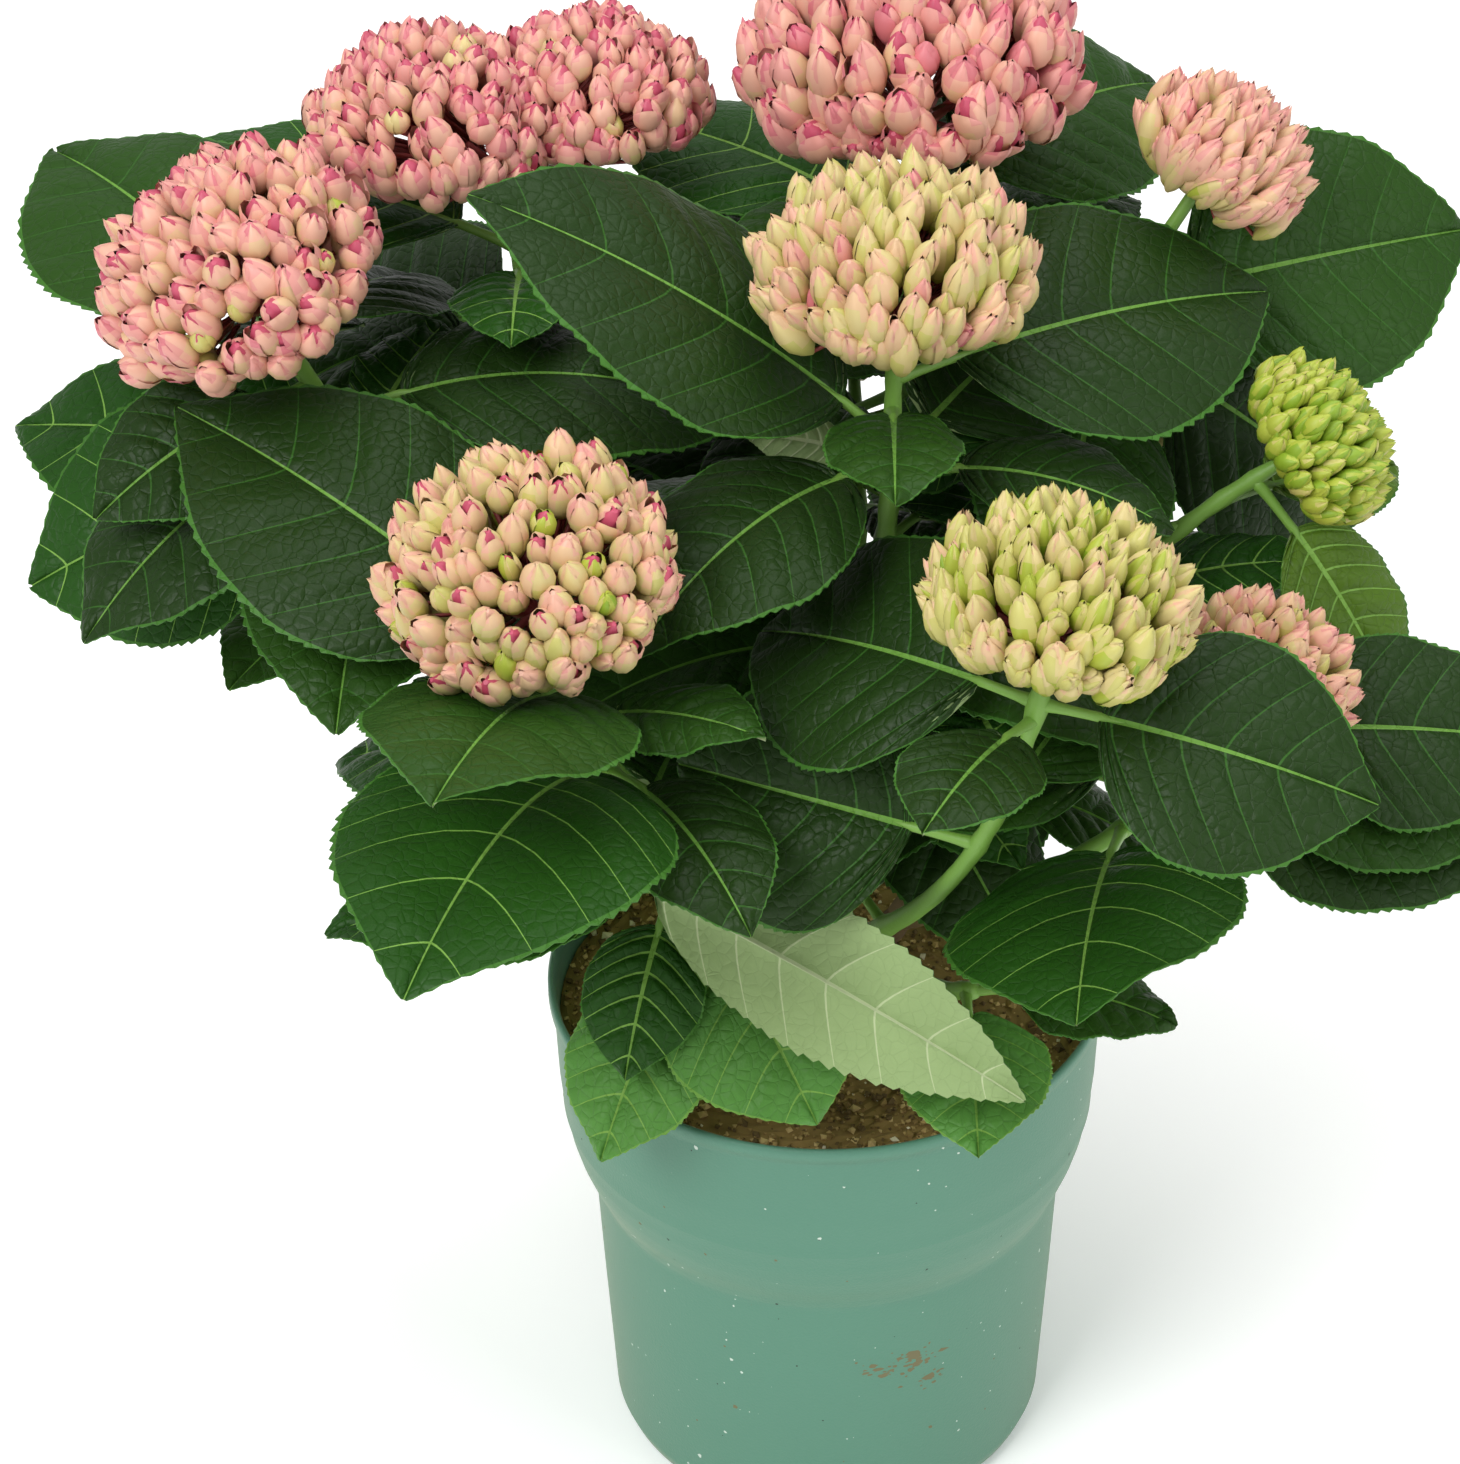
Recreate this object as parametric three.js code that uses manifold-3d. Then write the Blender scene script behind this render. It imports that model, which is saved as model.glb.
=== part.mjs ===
// A hydrangea in flower, growing in a round nursery pot.  Millimetres, +Z up, the front is -Y.
// The pot stands on z = 0 with its axis on the Z axis; the shrub grows out of it by one rule,
// shoot by shoot, and a leaf that would touch something that is already there is left out.
import * as THREE from "three";
import Module from "manifold-3d";

const wasm = await Module();
wasm.setup();
const { Manifold, Mesh } = wasm;

// ---- driving dimensions ----
const GAP = 0.3; // clear space between neighbouring bodies
const FINEST = 0.05; // detail smaller than this is smoothed away
const POT_HEIGHT = 230;
const RIM_RADIUS = 117;
const WALL = 2;
const FLOOR = 4; // thickness of the pot's bottom
const POT_SIDES = 40;
const SOIL_SIDES = 30;
const SOIL_TOP = 217;
const STOCK_FOOT = 209; // the stock is sunk this far into its pocket in the soil
const POCKET_RADIUS = 27;
const CANE_RADIUS = [7.5, 5.8]; // foot, tip
const STEM_RADIUS = [4.8, 3]; // foot, tip
const STEM_STEPS = 24;
const BARE_FOOT = 34; // of a stem, below its lowest leaf
const LEAF_THICKNESS = 2.2; // along its middle
const LEAF_EDGE = 1; // thickness at its margin
const LEAF_FOLD = 0.2; // how steeply the halves of a blade rise from the midrib
const LEAF_CURL = 0.28; // how far its margins turn down again
const LEAF_BELLY = [0.62, 0.85]; // outline s^a (1 - s)^b: broad near the stalk, pointed at the end
const STALK_RADIUS = 2.2;
const LEAF_CLEAR = 5.5; // between the middles of two blades
const STEM_CLEAR = 8; // between the middle of a blade and the axis of a stem
const DOME_HEIGHT = 0.75; // a flower head over its centre, by its radius
const DOME_DEPTH = 0.42; // and under it
const HEAD_FOOT = 0.45; // from the head's centre down to the end of its stem
const BUDS_ROUND = 14; // corners round a dome of blossoms
const BUD_ROWS = [128, 108, 90, 72, 54, 36, 18]; // their rows, degrees down from the top
const BUD_RELIEF = 0.16; // how far every second corner stands back, by the radius
const SEED = 20;

// Outside of the pot, as height above the ground and radius.
const POT_OUTSIDE = [
  [0, 87], [3, 90], [9, 92.4], [78, 96.6], [118, 98.8], [129, 99.4], [134, 101.2], [141, 104.6],
  [149, 107.6], [157, 109.8], [168, 111.8], [185, 113.4], [222.5, 115], [224, RIM_RADIUS],
  [228.6, RIM_RADIUS], [POT_HEIGHT, RIM_RADIUS - 1.2],
];
const DRAIN = { count: 6, width: 16, height: 2.4, radius: 75 };

// The woody canes that rise from the stock, each from its foot to its tip.
const CANES = {
  front: [[-3, -10, 228], [-4, -34, 272]],
  left: [[-12, 0, 228], [-36, 6, 276]],
  right: [[11, -2, 228], [36, -2, 270]],
  back: [[2, 10, 230], [4, 32, 280]],
};

// Heads of more than one dome: each dome's place beside the head's centre, and its radius.
const LOBES = { back_left: [[-30, -10, 52], [36, 15, 46]] };

// The shoots.  head: centre of the flower head; lean: compass angle and degrees off upright;
// radius: of the head, 0 for a leafy shoot; cane, up: the cane it leaves and how far up that cane;
// pairs, turn: how many pairs of leaves the rule adds, and where round the stem the first stands.
// leaves: the blades set one by one, as drop below the head, compass angle, rise, length, droop,
// roll, width over length, and length of the leaf stalk.
const SHOOTS = [
  { name: "middle", head: [26, 0, 578], lean: [90, 6], radius: 57,
    cane: "back", up: 1, pairs: 4, turn: 30, leaves: [
      [52, 157, 43, 170, 25, 10, 0.7, 26], [24, 34, 7, 150, 30, -25, 0.75, 26],
      [62, 52, -4, 120, 35, -25, 0.75, 26], [60, 175, 12, 44, 20, -100, 0.5, 16],
    ] },
  { name: "low_front", head: [-88, -94, 360], lean: [-130, 50], radius: 0,
    cane: "front", up: 0.75, pairs: 1, turn: 0, leaves: [
      [2, -21, -18, 172, 20, 118, 0.34, 22], [68, -62, -20, 86, 40, -18, 0.98, 22],
      [80, -122, -30, 80, 30, 0, 0.8, 36], [50, -108, -30, 64, 30, 0, 0.8, 18],
    ] },
  { name: "front_left", head: [-112, -110, 512], lean: [-120, 14], radius: 58,
    cane: "front", up: 1, pairs: 0, turn: 20, leaves: [
      [32, 149, 37, 166, 25, 15, 0.7, 26], [22, 55, 8, 140, 30, 0, 0.7, 26],
      [46, -107, 34, 130, 35, 0, 0.8, 26], [48, 84, 34, 120, 40, 0, 0.7, 26],
      [95, -112, 30, 165, 55, 0, 0.78, 30], [95, -60, 26, 90, 50, 0, 0.7, 30],
    ] },
  { name: "front_right", head: [87, -130, 512], lean: [30, 10], radius: 53,
    cane: "front", up: 1, pairs: 0, turn: 345, leaves: [
      [22, 146, 9, 122, 35, 30, 0.88, 26], [22, -16, -4, 112, 25, -30, 0.88, 24],
      [30, -118, 16, 70, 30, 0, 0.8, 24], [104, 168, 20, 100, 24, 50, 1.05, 26],
    ] },
  { name: "left", head: [-230, 20, 565], lean: [-150, 24], radius: 57,
    cane: "left", up: 1, pairs: 2, turn: 30, leaves: [
      [20, 130, 15, 145, 30, 10, 0.75, 26], [20, 70, -8, 110, 30, 0, 0.7, 26],
      [34, 103, 15, 140, 20, 0, 0.7, 26], [44, -140, 22, 90, 50, 20, 0.75, 26],
      [80, -168, -15, 116, 30, 35, 0.9, 34], [98, 170, 15, 160, 26, 20, 0.65, 30],
    ] },
  { name: "back_left", head: [-129, 128, 572], lean: [110, 8], radius: 80,
    cane: "left", up: 0.8, pairs: 4, turn: 10, leaves: [
      [26, 164, 16, 130, 22, 0, 0.7, 26], [70, 140, -3, 115, 30, 30, 0.8, 26],
      [100, 80, -3, 110, 30, 0, 0.7, 26],
    ] },
  { name: "back", head: [35, 130, 592], lean: [90, 8], radius: 70,
    cane: "back", up: 1, pairs: 4, turn: 0, leaves: [
      [44, 142, 10, 130, 25, 0, 0.7, 26], [20, 43, 4, 140, 35, -25, 0.7, 26],
      [42, 55, 26, 110, 20, 0, 0.7, 26],
    ] },
  { name: "back_right", head: [159, 110, 563], lean: [20, 35], radius: 40,
    cane: "right", up: 1, pairs: 4, turn: 50, leaves: [
      [56, 18, 4, 134, 22, -45, 0.85, 26], [16, 20, -20, 64, 20, 0, 0.7, 22],
      [72, 0, -34, 125, 30, -40, 0.85, 30], [76, -70, -14, 120, 30, 10, 0.8, 30],
    ] },
  { name: "right", head: [195, 20, 483], lean: [0, 55], radius: 37,
    cane: "right", up: 1, pairs: 3, turn: 20, leaves: [
      [14, -30, -45, 90, 30, -20, 0.62, 26], [50, 150, -8, 110, 30, 20, 0.8, 26],
      [30, 18, -9, 80, 20, -20, 0.6, 26],
    ] },
  { name: "right_low", head: [172, -70, 436], lean: [-20, 25], radius: 38,
    cane: "right", up: 0.7, pairs: 1, turn: 0, leaves: [
      [20, 0, 3, 105, 28, -30, 0.8, 26], [42, -18, 12, 116, 25, -20, 0.75, 26],
      [62, -16, 2, 112, 25, -20, 0.7, 26], [94, -102, 18, 124, 26, -16, 0.97, 32],
    ] },
  { name: "low_right", head: [60, -66, 272], lean: [-45, 60], radius: 0,
    cane: "right", up: 0.4, pairs: 1, turn: 0, leaves: [
      [6, -88, 12, 78, 40, 0, 0.8, 22], [6, -34, 14, 68, 40, 0, 0.75, 22],
    ] },
  { name: "low_left", head: [-95, -10, 345], lean: [-175, 55], radius: 0,
    cane: "left", up: 0.5, pairs: 2, turn: 80, leaves: [] },
  { name: "low_back", head: [10, 95, 350], lean: [85, 55], radius: 0,
    cane: "back", up: 0.5, pairs: 2, turn: 10, leaves: [] },
  { name: "rear_left", head: [-175, 120, 400], lean: [145, 40], radius: 40,
    cane: "left", up: 0.65, pairs: 3, turn: 60, leaves: [] },
  { name: "rear", head: [10, 205, 420], lean: [95, 45], radius: 46,
    cane: "back", up: 0.8, pairs: 3, turn: 20, leaves: [] },
  { name: "rear_right", head: [150, 160, 400], lean: [45, 42], radius: 44,
    cane: "back", up: 0.6, pairs: 3, turn: 40, leaves: [] },
];

// What a leaf may do to find room, in turn: compass angle, rise, scale.
const TRIES = [
  [0, 0, 1], [10, 0, 1], [-10, 0, 1], [0, 10, 1], [0, -10, 1], [20, 0, 1], [-20, 0, 1],
  [10, -12, 0.9], [-10, -12, 0.9], [0, 18, 0.9], [0, -20, 0.9], [30, 0, 0.85], [-30, 0, 0.85],
  [0, 0, 0.75], [15, -20, 0.75], [-15, -20, 0.75], [15, 20, 0.75], [-15, 20, 0.75], [0, -30, 0.7],
  [40, -10, 0.7], [-40, -10, 0.7], [55, 0, 0.85], [-55, 0, 0.85], [70, -10, 0.8], [-70, -10, 0.8],
  [0, -40, 0.8],
];

// ---- small tools ----
const rad = THREE.MathUtils.degToRad;
const vec = (a) => new THREE.Vector3(...a);
const mix = (a, b, t) => a.clone().lerp(b, t);
const along = (p, d, t) => p.clone().addScaledVector(d, t);

// A unit vector from a compass angle (0 is +X, 90 is +Y) and a rise over the horizon.
function direction(angle, rise) {
  const c = Math.cos(rad(rise));
  return new THREE.Vector3(c * Math.cos(rad(angle)), c * Math.sin(rad(angle)), Math.sin(rad(rise)));
}

function randomFrom(seed) {
  let s = seed >>> 0;
  return () => {
    s = (s + 0x6d2b79f5) >>> 0;
    let t = Math.imul(s ^ (s >>> 15), s | 1);
    t = (t ^ (t + Math.imul(t ^ (t >>> 7), t | 61))) >>> 0;
    return ((t ^ (t >>> 14)) >>> 0) / 4294967296;
  };
}

// A solid from rings of points that all have the same count, closed by a point or a flat at each end.
// `zigzag` turns every second quad's diagonal, so that a skin standing out and in keeps its peaks.
function solidFromRings(rings, zigzag = false) {
  const points = [];
  const triangles = [];
  const start = rings.map((ring) => points.push(...ring) - ring.length);
  const n = Math.max(...rings.map((ring) => ring.length));
  for (let k = 0; k + 1 < rings.length; k++) {
    const [a, b] = [start[k], start[k + 1]];
    const [one, two] = [rings[k].length === 1, rings[k + 1].length === 1];
    for (let i = 0; i < n; i++) {
      const j = (i + 1) % n;
      const over = zigzag && !one && !two && (i + k) % 2; // the other diagonal
      if (!one) triangles.push(a + i, a + j, two ? b : b + (over ? i : j));
      if (!two) triangles.push(one ? a : a + (over ? j : i), b + j, b + i);
    }
  }
  for (const [k, turn] of [[0, 1], [rings.length - 1, 0]]) {
    if (rings[k].length < 3) continue;
    for (let i = 1; i + 1 < n; i++) {
      const [p, q] = turn ? [i + 1, i] : [i, i + 1];
      triangles.push(start[k], start[k] + p, start[k] + q);
    }
  }
  const solid = new Manifold(new Mesh({
    numProp: 3,
    vertProperties: Float32Array.from(points.flatMap((p) => [p.x, p.y, p.z])),
    triVerts: Uint32Array.from(triangles),
  }));
  if (solid.volume() < 0) throw new Error("a solid is inside out");
  return solid;
}

// A tube through points, with one radius per point.
function tube(path, radii, sides) {
  const rings = path.map((p, k) => {
    const [before, after] = [path[Math.max(k - 1, 0)], path[Math.min(k + 1, path.length - 1)]];
    const axis = after.clone().sub(before).normalize();
    const east = new THREE.Vector3(0.31, 0.12, 0.94).cross(axis).normalize();
    const north = axis.clone().cross(east);
    return Array.from({ length: sides }, (_, i) => {
      const t = (2 * Math.PI * i) / sides;
      return along(along(p, east, radii[k] * Math.cos(t)), north, radii[k] * Math.sin(t));
    });
  });
  return solidFromRings(rings);
}

// A body of revolution from [height, radius] rows, bottom to top; a radius of 0 makes a point.
function lathe(rows, sides) {
  return solidFromRings(rows.map(([z, r]) =>
    r === 0
      ? [new THREE.Vector3(0, 0, z)]
      : Array.from({ length: sides }, (_, i) => {
          const t = (2 * Math.PI * i) / sides;
          return new THREE.Vector3(r * Math.cos(t), r * Math.sin(t), z);
        })));
}

// ---- stems ----
function bentStem(foot, tip, axis) {
  const knee = along(tip, axis, -0.5 * tip.distanceTo(foot));
  const points = [];
  for (let k = 0; k <= STEM_STEPS; k++) {
    const t = k / STEM_STEPS;
    points.push(mix(mix(foot, knee, t), mix(knee, tip, t), t));
  }
  const reached = [0];
  for (let k = 1; k < points.length; k++) reached.push(reached[k - 1] + points[k].distanceTo(points[k - 1]));
  return { points, reached, length: reached.at(-1), axis };
}

function stemAt(stem, distance) {
  const x = Math.min(Math.max(distance, 0), stem.length);
  let k = 0;
  while (k < STEM_STEPS - 1 && stem.reached[k + 1] <= x) k++;
  const f = (x - stem.reached[k]) / (stem.reached[k + 1] - stem.reached[k]);
  return mix(stem.points[k], stem.points[k + 1], f);
}

function stemPiece(stem, from, to, swell, sides) {
  const steps = Math.max(2, Math.round((to - from) / 34));
  const path = [];
  const radii = [];
  for (let k = 0; k <= steps; k++) {
    const x = from + ((to - from) * k) / steps;
    path.push(stemAt(stem, x));
    radii.push(THREE.MathUtils.lerp(STEM_RADIUS[0], STEM_RADIUS[1], x / stem.length) + swell);
  }
  return tube(path, radii, sides);
}

// ---- leaves ----
const BELLY_PEAK = (() => {
  const [a, b] = LEAF_BELLY;
  return (a / (a + b)) ** a * (b / (a + b)) ** b;
})();

function halfWidth(leaf, s) {
  const t = Math.min(Math.max(s, 0), 1);
  return (leaf.span * t ** LEAF_BELLY[0] * (1 - t) ** LEAF_BELLY[1]) / BELLY_PEAK;
}

const camber = (leaf, v) => LEAF_FOLD * Math.abs(v) - (LEAF_CURL * v * v) / leaf.span;

// A leaf leaves its node along `out`, and its blade bends down round a circle of 1 / bend.
function makeLeaf(shoot, node, drop, [angle, rise, length, droop, roll, wide, stalk]) {
  const out = direction(angle, rise);
  const left = new THREE.Vector3(-Math.sin(rad(angle)), Math.cos(rad(angle)), 0);
  const over = out.clone().cross(left);
  const side = over.clone().cross(out);
  const [c, s] = [Math.cos(rad(roll)), Math.sin(rad(roll))];
  const leaf = {
    shoot, node, drop, out, length,
    base: along(node, out, stalk),
    up: over.clone().multiplyScalar(c).addScaledVector(side, s),
    side: side.clone().multiplyScalar(c).addScaledVector(over, -s),
    bend: rad(Math.max(droop, 4)) / length,
    span: (length * wide) / 2,
  };
  leaf.grid = [];
  for (let i = 0; i < 11; i++) {
    const u = 0.02 + 0.098 * i;
    const w = halfWidth(leaf, u) / 3;
    leaf.grid.push([-3, -2, -1, 0, 1, 2, 3].map((j) => bladeAt(leaf, u * length, j * w)));
  }
  leaf.middle = bladeAt(leaf, 0.5 * length, 0);
  leaf.stalk = [0, 1, 2, 3, 4, 5].map((i) => mix(node, leaf.base, 0.3 + 0.12 * i));
  return leaf;
}

// The point u along the blade and v across it, h over its surface.
function bladeAt(leaf, u, v, h = 0) {
  const t = leaf.bend * u;
  const p = along(leaf.base, leaf.out, Math.sin(t) / leaf.bend);
  p.addScaledVector(leaf.up, -(1 - Math.cos(t)) / leaf.bend).addScaledVector(leaf.side, v);
  const over = leaf.up.clone().multiplyScalar(Math.cos(t)).addScaledVector(leaf.out, Math.sin(t));
  return p.addScaledVector(over, camber(leaf, v) + h);
}

// A point seen from a blade: its height over the surface, and how far outside the outline it is.
function seenFrom(leaf, point) {
  const r = point.clone().sub(leaf.base);
  const [a, b, c] = [r.dot(leaf.out), r.dot(leaf.up) + 1 / leaf.bend, r.dot(leaf.side)];
  const u = Math.atan2(a, b) / leaf.bend;
  return {
    height: Math.hypot(a, b) - 1 / leaf.bend - camber(leaf, c),
    outside: Math.max(Math.abs(c) - halfWidth(leaf, u / leaf.length), -u, u - leaf.length),
  };
}

// Whether a grid of points (a line is a grid one column wide) meets a blade or passes through it.
function meets(leaf, grid, clear) {
  const seen = grid.map((row) => row.map((p) => seenFrom(leaf, p)));
  const crossed = (a, b) =>
    b && a.height * b.height < 0 && Math.abs(a.height - b.height) < 80 &&
    (a.outside < 3 || b.outside < 3) && a.outside < 18 && b.outside < 18;
  return seen.some((row, i) => row.some((a, j) =>
    (a.outside < 3 && Math.abs(a.height) < clear) || crossed(a, seen[i + 1]?.[j]) || crossed(a, row[j + 1])));
}

const asColumn = (points) => points.map((p) => [p]);

function inHead(head, point, clear) {
  const r = point.clone().sub(head.centre);
  const t = r.dot(head.axis);
  const q = Math.sqrt(Math.max(r.lengthSq() - t * t, 0));
  const half = t > 0 ? DOME_HEIGHT * head.radius + clear : DOME_DEPTH * head.radius + clear / 2;
  return (q / (head.radius + clear)) ** 2 + (t / half) ** 2 < 1;
}

function inPotOrGround(p) {
  const r = Math.hypot(p.x, p.y);
  if (r <= 98) return p.z < SOIL_TOP + 7;
  return p.z < (r < RIM_RADIUS + 7 ? POT_HEIGHT + 4 : 6);
}

// ---- growth ----
const stems = {};
const heads = [];
const leaves = [];
for (const shoot of SHOOTS) {
  const [a, b] = CANES[shoot.cane].map(vec);
  const axis = direction(shoot.lean[0], 90 - shoot.lean[1]);
  const centre = vec(shoot.head);
  const stem = bentStem(mix(a, b, shoot.up), along(centre, axis, -HEAD_FOOT * shoot.radius), axis);
  const count = Math.floor(stem.length / 6) + 1;
  stem.fine = Array.from({ length: count }, (_, i) => (stem.length * i) / (count - 1));
  stems[shoot.name] = stem;
  if (shoot.radius) heads.push({ name: shoot.name, centre, axis, radius: shoot.radius });
}

function hasRoom(leaf) {
  const points = leaf.grid.flat();
  if (points.some((p) => inPotOrGround(p) || heads.some((head) => inHead(head, p, 3)))) return false;
  for (const [name, stem] of Object.entries(stems)) {
    const own = name === leaf.shoot;
    const near = stem.fine.filter((x) => !own || Math.abs(x - (stem.length - leaf.drop)) > 14);
    const axis = near.map((x) => stemAt(stem, x));
    if (meets(leaf, asColumn(axis), STEM_CLEAR)) return false;
    if (!own && axis.some((p) => leaf.stalk.some((q) => p.distanceTo(q) < STEM_CLEAR))) return false;
  }
  for (const other of leaves) {
    if (other.middle.distanceTo(leaf.middle) > 0.75 * (other.length + leaf.length) + 30) continue;
    if (meets(other, leaf.grid, LEAF_CLEAR) || meets(leaf, other.grid, LEAF_CLEAR)) return false;
    if (meets(leaf, asColumn(other.stalk), 6) || meets(other, asColumn(leaf.stalk), 6)) return false;
    const own = other.shoot === leaf.shoot;
    if (!own && other.stalk.some((p) => leaf.stalk.some((q) => p.distanceTo(q) < 6))) return false;
  }
  return true;
}

function placeLeaf(name, [drop, angle, rise, length, ...rest]) {
  const stem = stems[name];
  if (drop > stem.length - BARE_FOOT) return;
  const node = stemAt(stem, stem.length - drop);
  for (const [turn, lift, scale] of TRIES) {
    const leaf = makeLeaf(name, node, drop, [angle + turn, rise + lift, length * scale, ...rest]);
    if (hasRoom(leaf)) {
      leaves.push(leaf);
      return;
    }
  }
}

for (const shoot of SHOOTS) for (const row of shoot.leaves) placeLeaf(shoot.name, row);
const random = randomFrom(SEED);
for (let k = 0; k < 5; k++) {
  for (const { name, pairs, turn, leaves: given } of SHOOTS) {
    if (k >= pairs) continue;
    for (const side of [0, 180]) {
      const r = Array.from({ length: 5 }, random);
      placeLeaf(name, [
        (given.length ? 64 : 24) + 46 * k + 6 * (r[0] - 0.5),
        turn + 90 * k + side + 20 * (r[1] - 0.5),
        18 - 7 * k + 16 * (r[2] - 0.5), 118 + 36 * r[3], 34 + 20 * r[4], 0, 0.72, 28,
      ]);
    }
  }
}

// ---- bodies ----
const group = new THREE.Group();
function addMesh(name, solid, colour, roughness) {
  const mesh = solid.asOriginal().simplify(FINEST).getMesh(); // drops slivers left by a cut
  const geometry = new THREE.BufferGeometry();
  geometry.setAttribute("position", new THREE.BufferAttribute(new Float32Array(mesh.vertProperties), 3));
  geometry.setIndex(Array.from(mesh.triVerts));
  geometry.computeVertexNormals();
  const material = new THREE.MeshStandardMaterial({ color: colour, roughness, metalness: 0 });
  const body = new THREE.Mesh(geometry, material);
  body.name = name;
  group.add(body);
}

// Pot: a lathed wall with a rolled rim and a flat bottom that has a groove and drain notches.
function makePot() {
  const inside = POT_OUTSIDE.filter(([z]) => z > FLOOR + 2 && z < 222).map(([z, r]) => [z, r - WALL]);
  const wall = lathe(POT_OUTSIDE, POT_SIDES).subtract(
    lathe([[FLOOR, 88], ...inside, [POT_HEIGHT + 1, POT_OUTSIDE.at(-4)[1] - WALL]], POT_SIDES));
  const groove = lathe([[-1, 84], [1.6, 83]], POT_SIDES).subtract(lathe([[-2, 66], [3, 67]], POT_SIDES));
  const side = (x) => [[-1, -1], [1, -1], [1, 1], [-1, 1]].map(([y, z]) =>
    new THREE.Vector3(x, (y * DRAIN.width) / 2, z * DRAIN.height));
  const notches = Array.from({ length: DRAIN.count }, (_, i) =>
    solidFromRings([side(DRAIN.radius), side(DRAIN.radius + 40)])
      .rotate([0, 0, 30 + (360 / DRAIN.count) * i]));
  return wall.subtract(Manifold.union([groove, ...notches]));
}

// Soil: fills the pot to a low, slightly uneven top, with a pocket for the stock.
function makeSoil() {
  const side = POT_OUTSIDE.filter(([z]) => z > FLOOR + 2 && z < SOIL_TOP - 4)
    .map(([z, r]) => [z, r - WALL - GAP - 0.4]);
  const rows = [[FLOOR + GAP, 87.2], ...side, [SOIL_TOP - 3, 111.6], [SOIL_TOP - 1, 104], [SOIL_TOP, 70],
    [SOIL_TOP + 1.5, 34], [SOIL_TOP + 1.5, 0]];
  const pocket = lathe([[STOCK_FOOT - GAP, POCKET_RADIUS], [SOIL_TOP + 9, POCKET_RADIUS + 1]], 20);
  return lathe(rows, SOIL_SIDES)
    .warp((p) => {
      const hollow = 0.014 * Math.max(-p[0] - 60, 0) ** 1.2; // lower on the left
      if (p[2] > SOIL_TOP - 3.5) p[2] += 1.6 * Math.sin(p[0] / 17) * Math.cos(p[1] / 21) - hollow;
    })
    .subtract(pocket);
}

// Stock: the short woody crown that all the canes rise from; `swell` makes room round it.
function makeStock(swell) {
  const rows = [[STOCK_FOOT, 25], [SOIL_TOP - 2, 26], [SOIL_TOP + 4, 20], [228, 16], [236, 15], [241, 9]];
  return lathe([...rows.map(([z, r]) => [z, r + swell]), [243 + swell, 0]], 16);
}

addMesh("pot", makePot(), 0x6fa392, 0.5);
addMesh("soil", makeSoil(), 0x4a3524, 0.95);
addMesh("stock", makeStock(0), 0x6e5a3c, 0.85);

// Canes and limbs are grown one after another, each cut clear of the ones before it.
const taken = [makeStock(GAP + 0.15)];
function cutClear(solid) {
  const pieces = solid.subtract(Manifold.union(taken)).decompose();
  return pieces.reduce((a, b) => (b.volume() > a.volume() ? b : a));
}

function addLimb(name, colour, build) {
  addMesh(name, cutClear(build(0)), colour, 0.8);
  taken.push(build(GAP + 0.15));
}

for (const [name, ends] of Object.entries(CANES)) {
  const [a, b] = ends.map(vec);
  const foot = along(a, b.clone().sub(a).normalize(), -6);
  addLimb(`cane_${name}`, 0x7d6a45, (swell) =>
    tube([foot, mix(foot, b, 0.5), along(b, b.clone().sub(a).normalize(), swell)],
      [CANE_RADIUS[0], (CANE_RADIUS[0] + CANE_RADIUS[1]) / 2, CANE_RADIUS[1]].map((r) => r + swell), 8));
}

// A leaf: one skin of six-cornered rings, from its root in the stem along the stalk to the tip.
const LEAF_STATIONS = [0.05, 0.18, 0.38, 0.62, 0.84];
function makeLeafBody(leaf) {
  const thick = Math.max(LEAF_THICKNESS, leaf.length / 80);
  const ring = (u, w, edge, top, bottom) => [
    [w, -edge], [w, edge], [0, top], [-w, edge], [-w, -edge], [0, -bottom],
  ].map(([v, h]) => bladeAt(leaf, u, v, h));
  const [r, half] = [STALK_RADIUS, thick / 2];
  const root = ring(0, r, r / 2, r, r).map((p) => p.add(leaf.node).sub(leaf.base));
  return solidFromRings([root, ring(0, r, r / 2, r, r),
    ...LEAF_STATIONS.map((s) =>
      ring(s * leaf.length, halfWidth(leaf, s), LEAF_EDGE / 2, half, half + 1.2 * (1 - s))),
    [bladeAt(leaf, leaf.length, 0)]]);
}

// A shoot: a bare limb from its cane, then the leafy part of its stem with the leaves fused on.
const ownLeaves = (name) => leaves.filter((leaf) => leaf.shoot === name);
const parting = (name) => stems[name].length - Math.max(...ownLeaves(name).map((leaf) => leaf.drop)) - 14;
for (const { name } of SHOOTS) {
  addLimb(`stem_${name}`, 0x8a9a4e, (swell) => stemPiece(stems[name], 0, parting(name) + swell, swell, 6));
}
for (const { name } of SHOOTS) {
  const tip = stemPiece(stems[name], parting(name) + GAP, stems[name].length, 0, 6);
  const mass = Manifold.union([tip, ...ownLeaves(name).map(makeLeafBody)]);
  addMesh(`leaves_${name}`, cutClear(mass), 0x2f6b2c, 0.5);
}

// A dome of blossoms: its skin stands out and in by turns, each peak for a cluster of buds.
function makeDome(radius) {
  const rings = BUD_ROWS.map((angle, k) => {
    const [flat, up] = [Math.sin(rad(angle)), Math.cos(rad(angle))];
    const height = up * (up > 0 ? DOME_HEIGHT : DOME_DEPTH);
    return Array.from({ length: BUDS_ROUND }, (_, i) => {
      const [t, size] = [(2 * Math.PI * i) / BUDS_ROUND, radius * ((i + k) % 2 ? 1 - BUD_RELIEF : 1)];
      return new THREE.Vector3(flat * size * Math.cos(t), flat * size * Math.sin(t), height * size);
    });
  });
  return solidFromRings([...rings, [new THREE.Vector3(0, 0, DOME_HEIGHT * radius)]], true);
}

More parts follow.
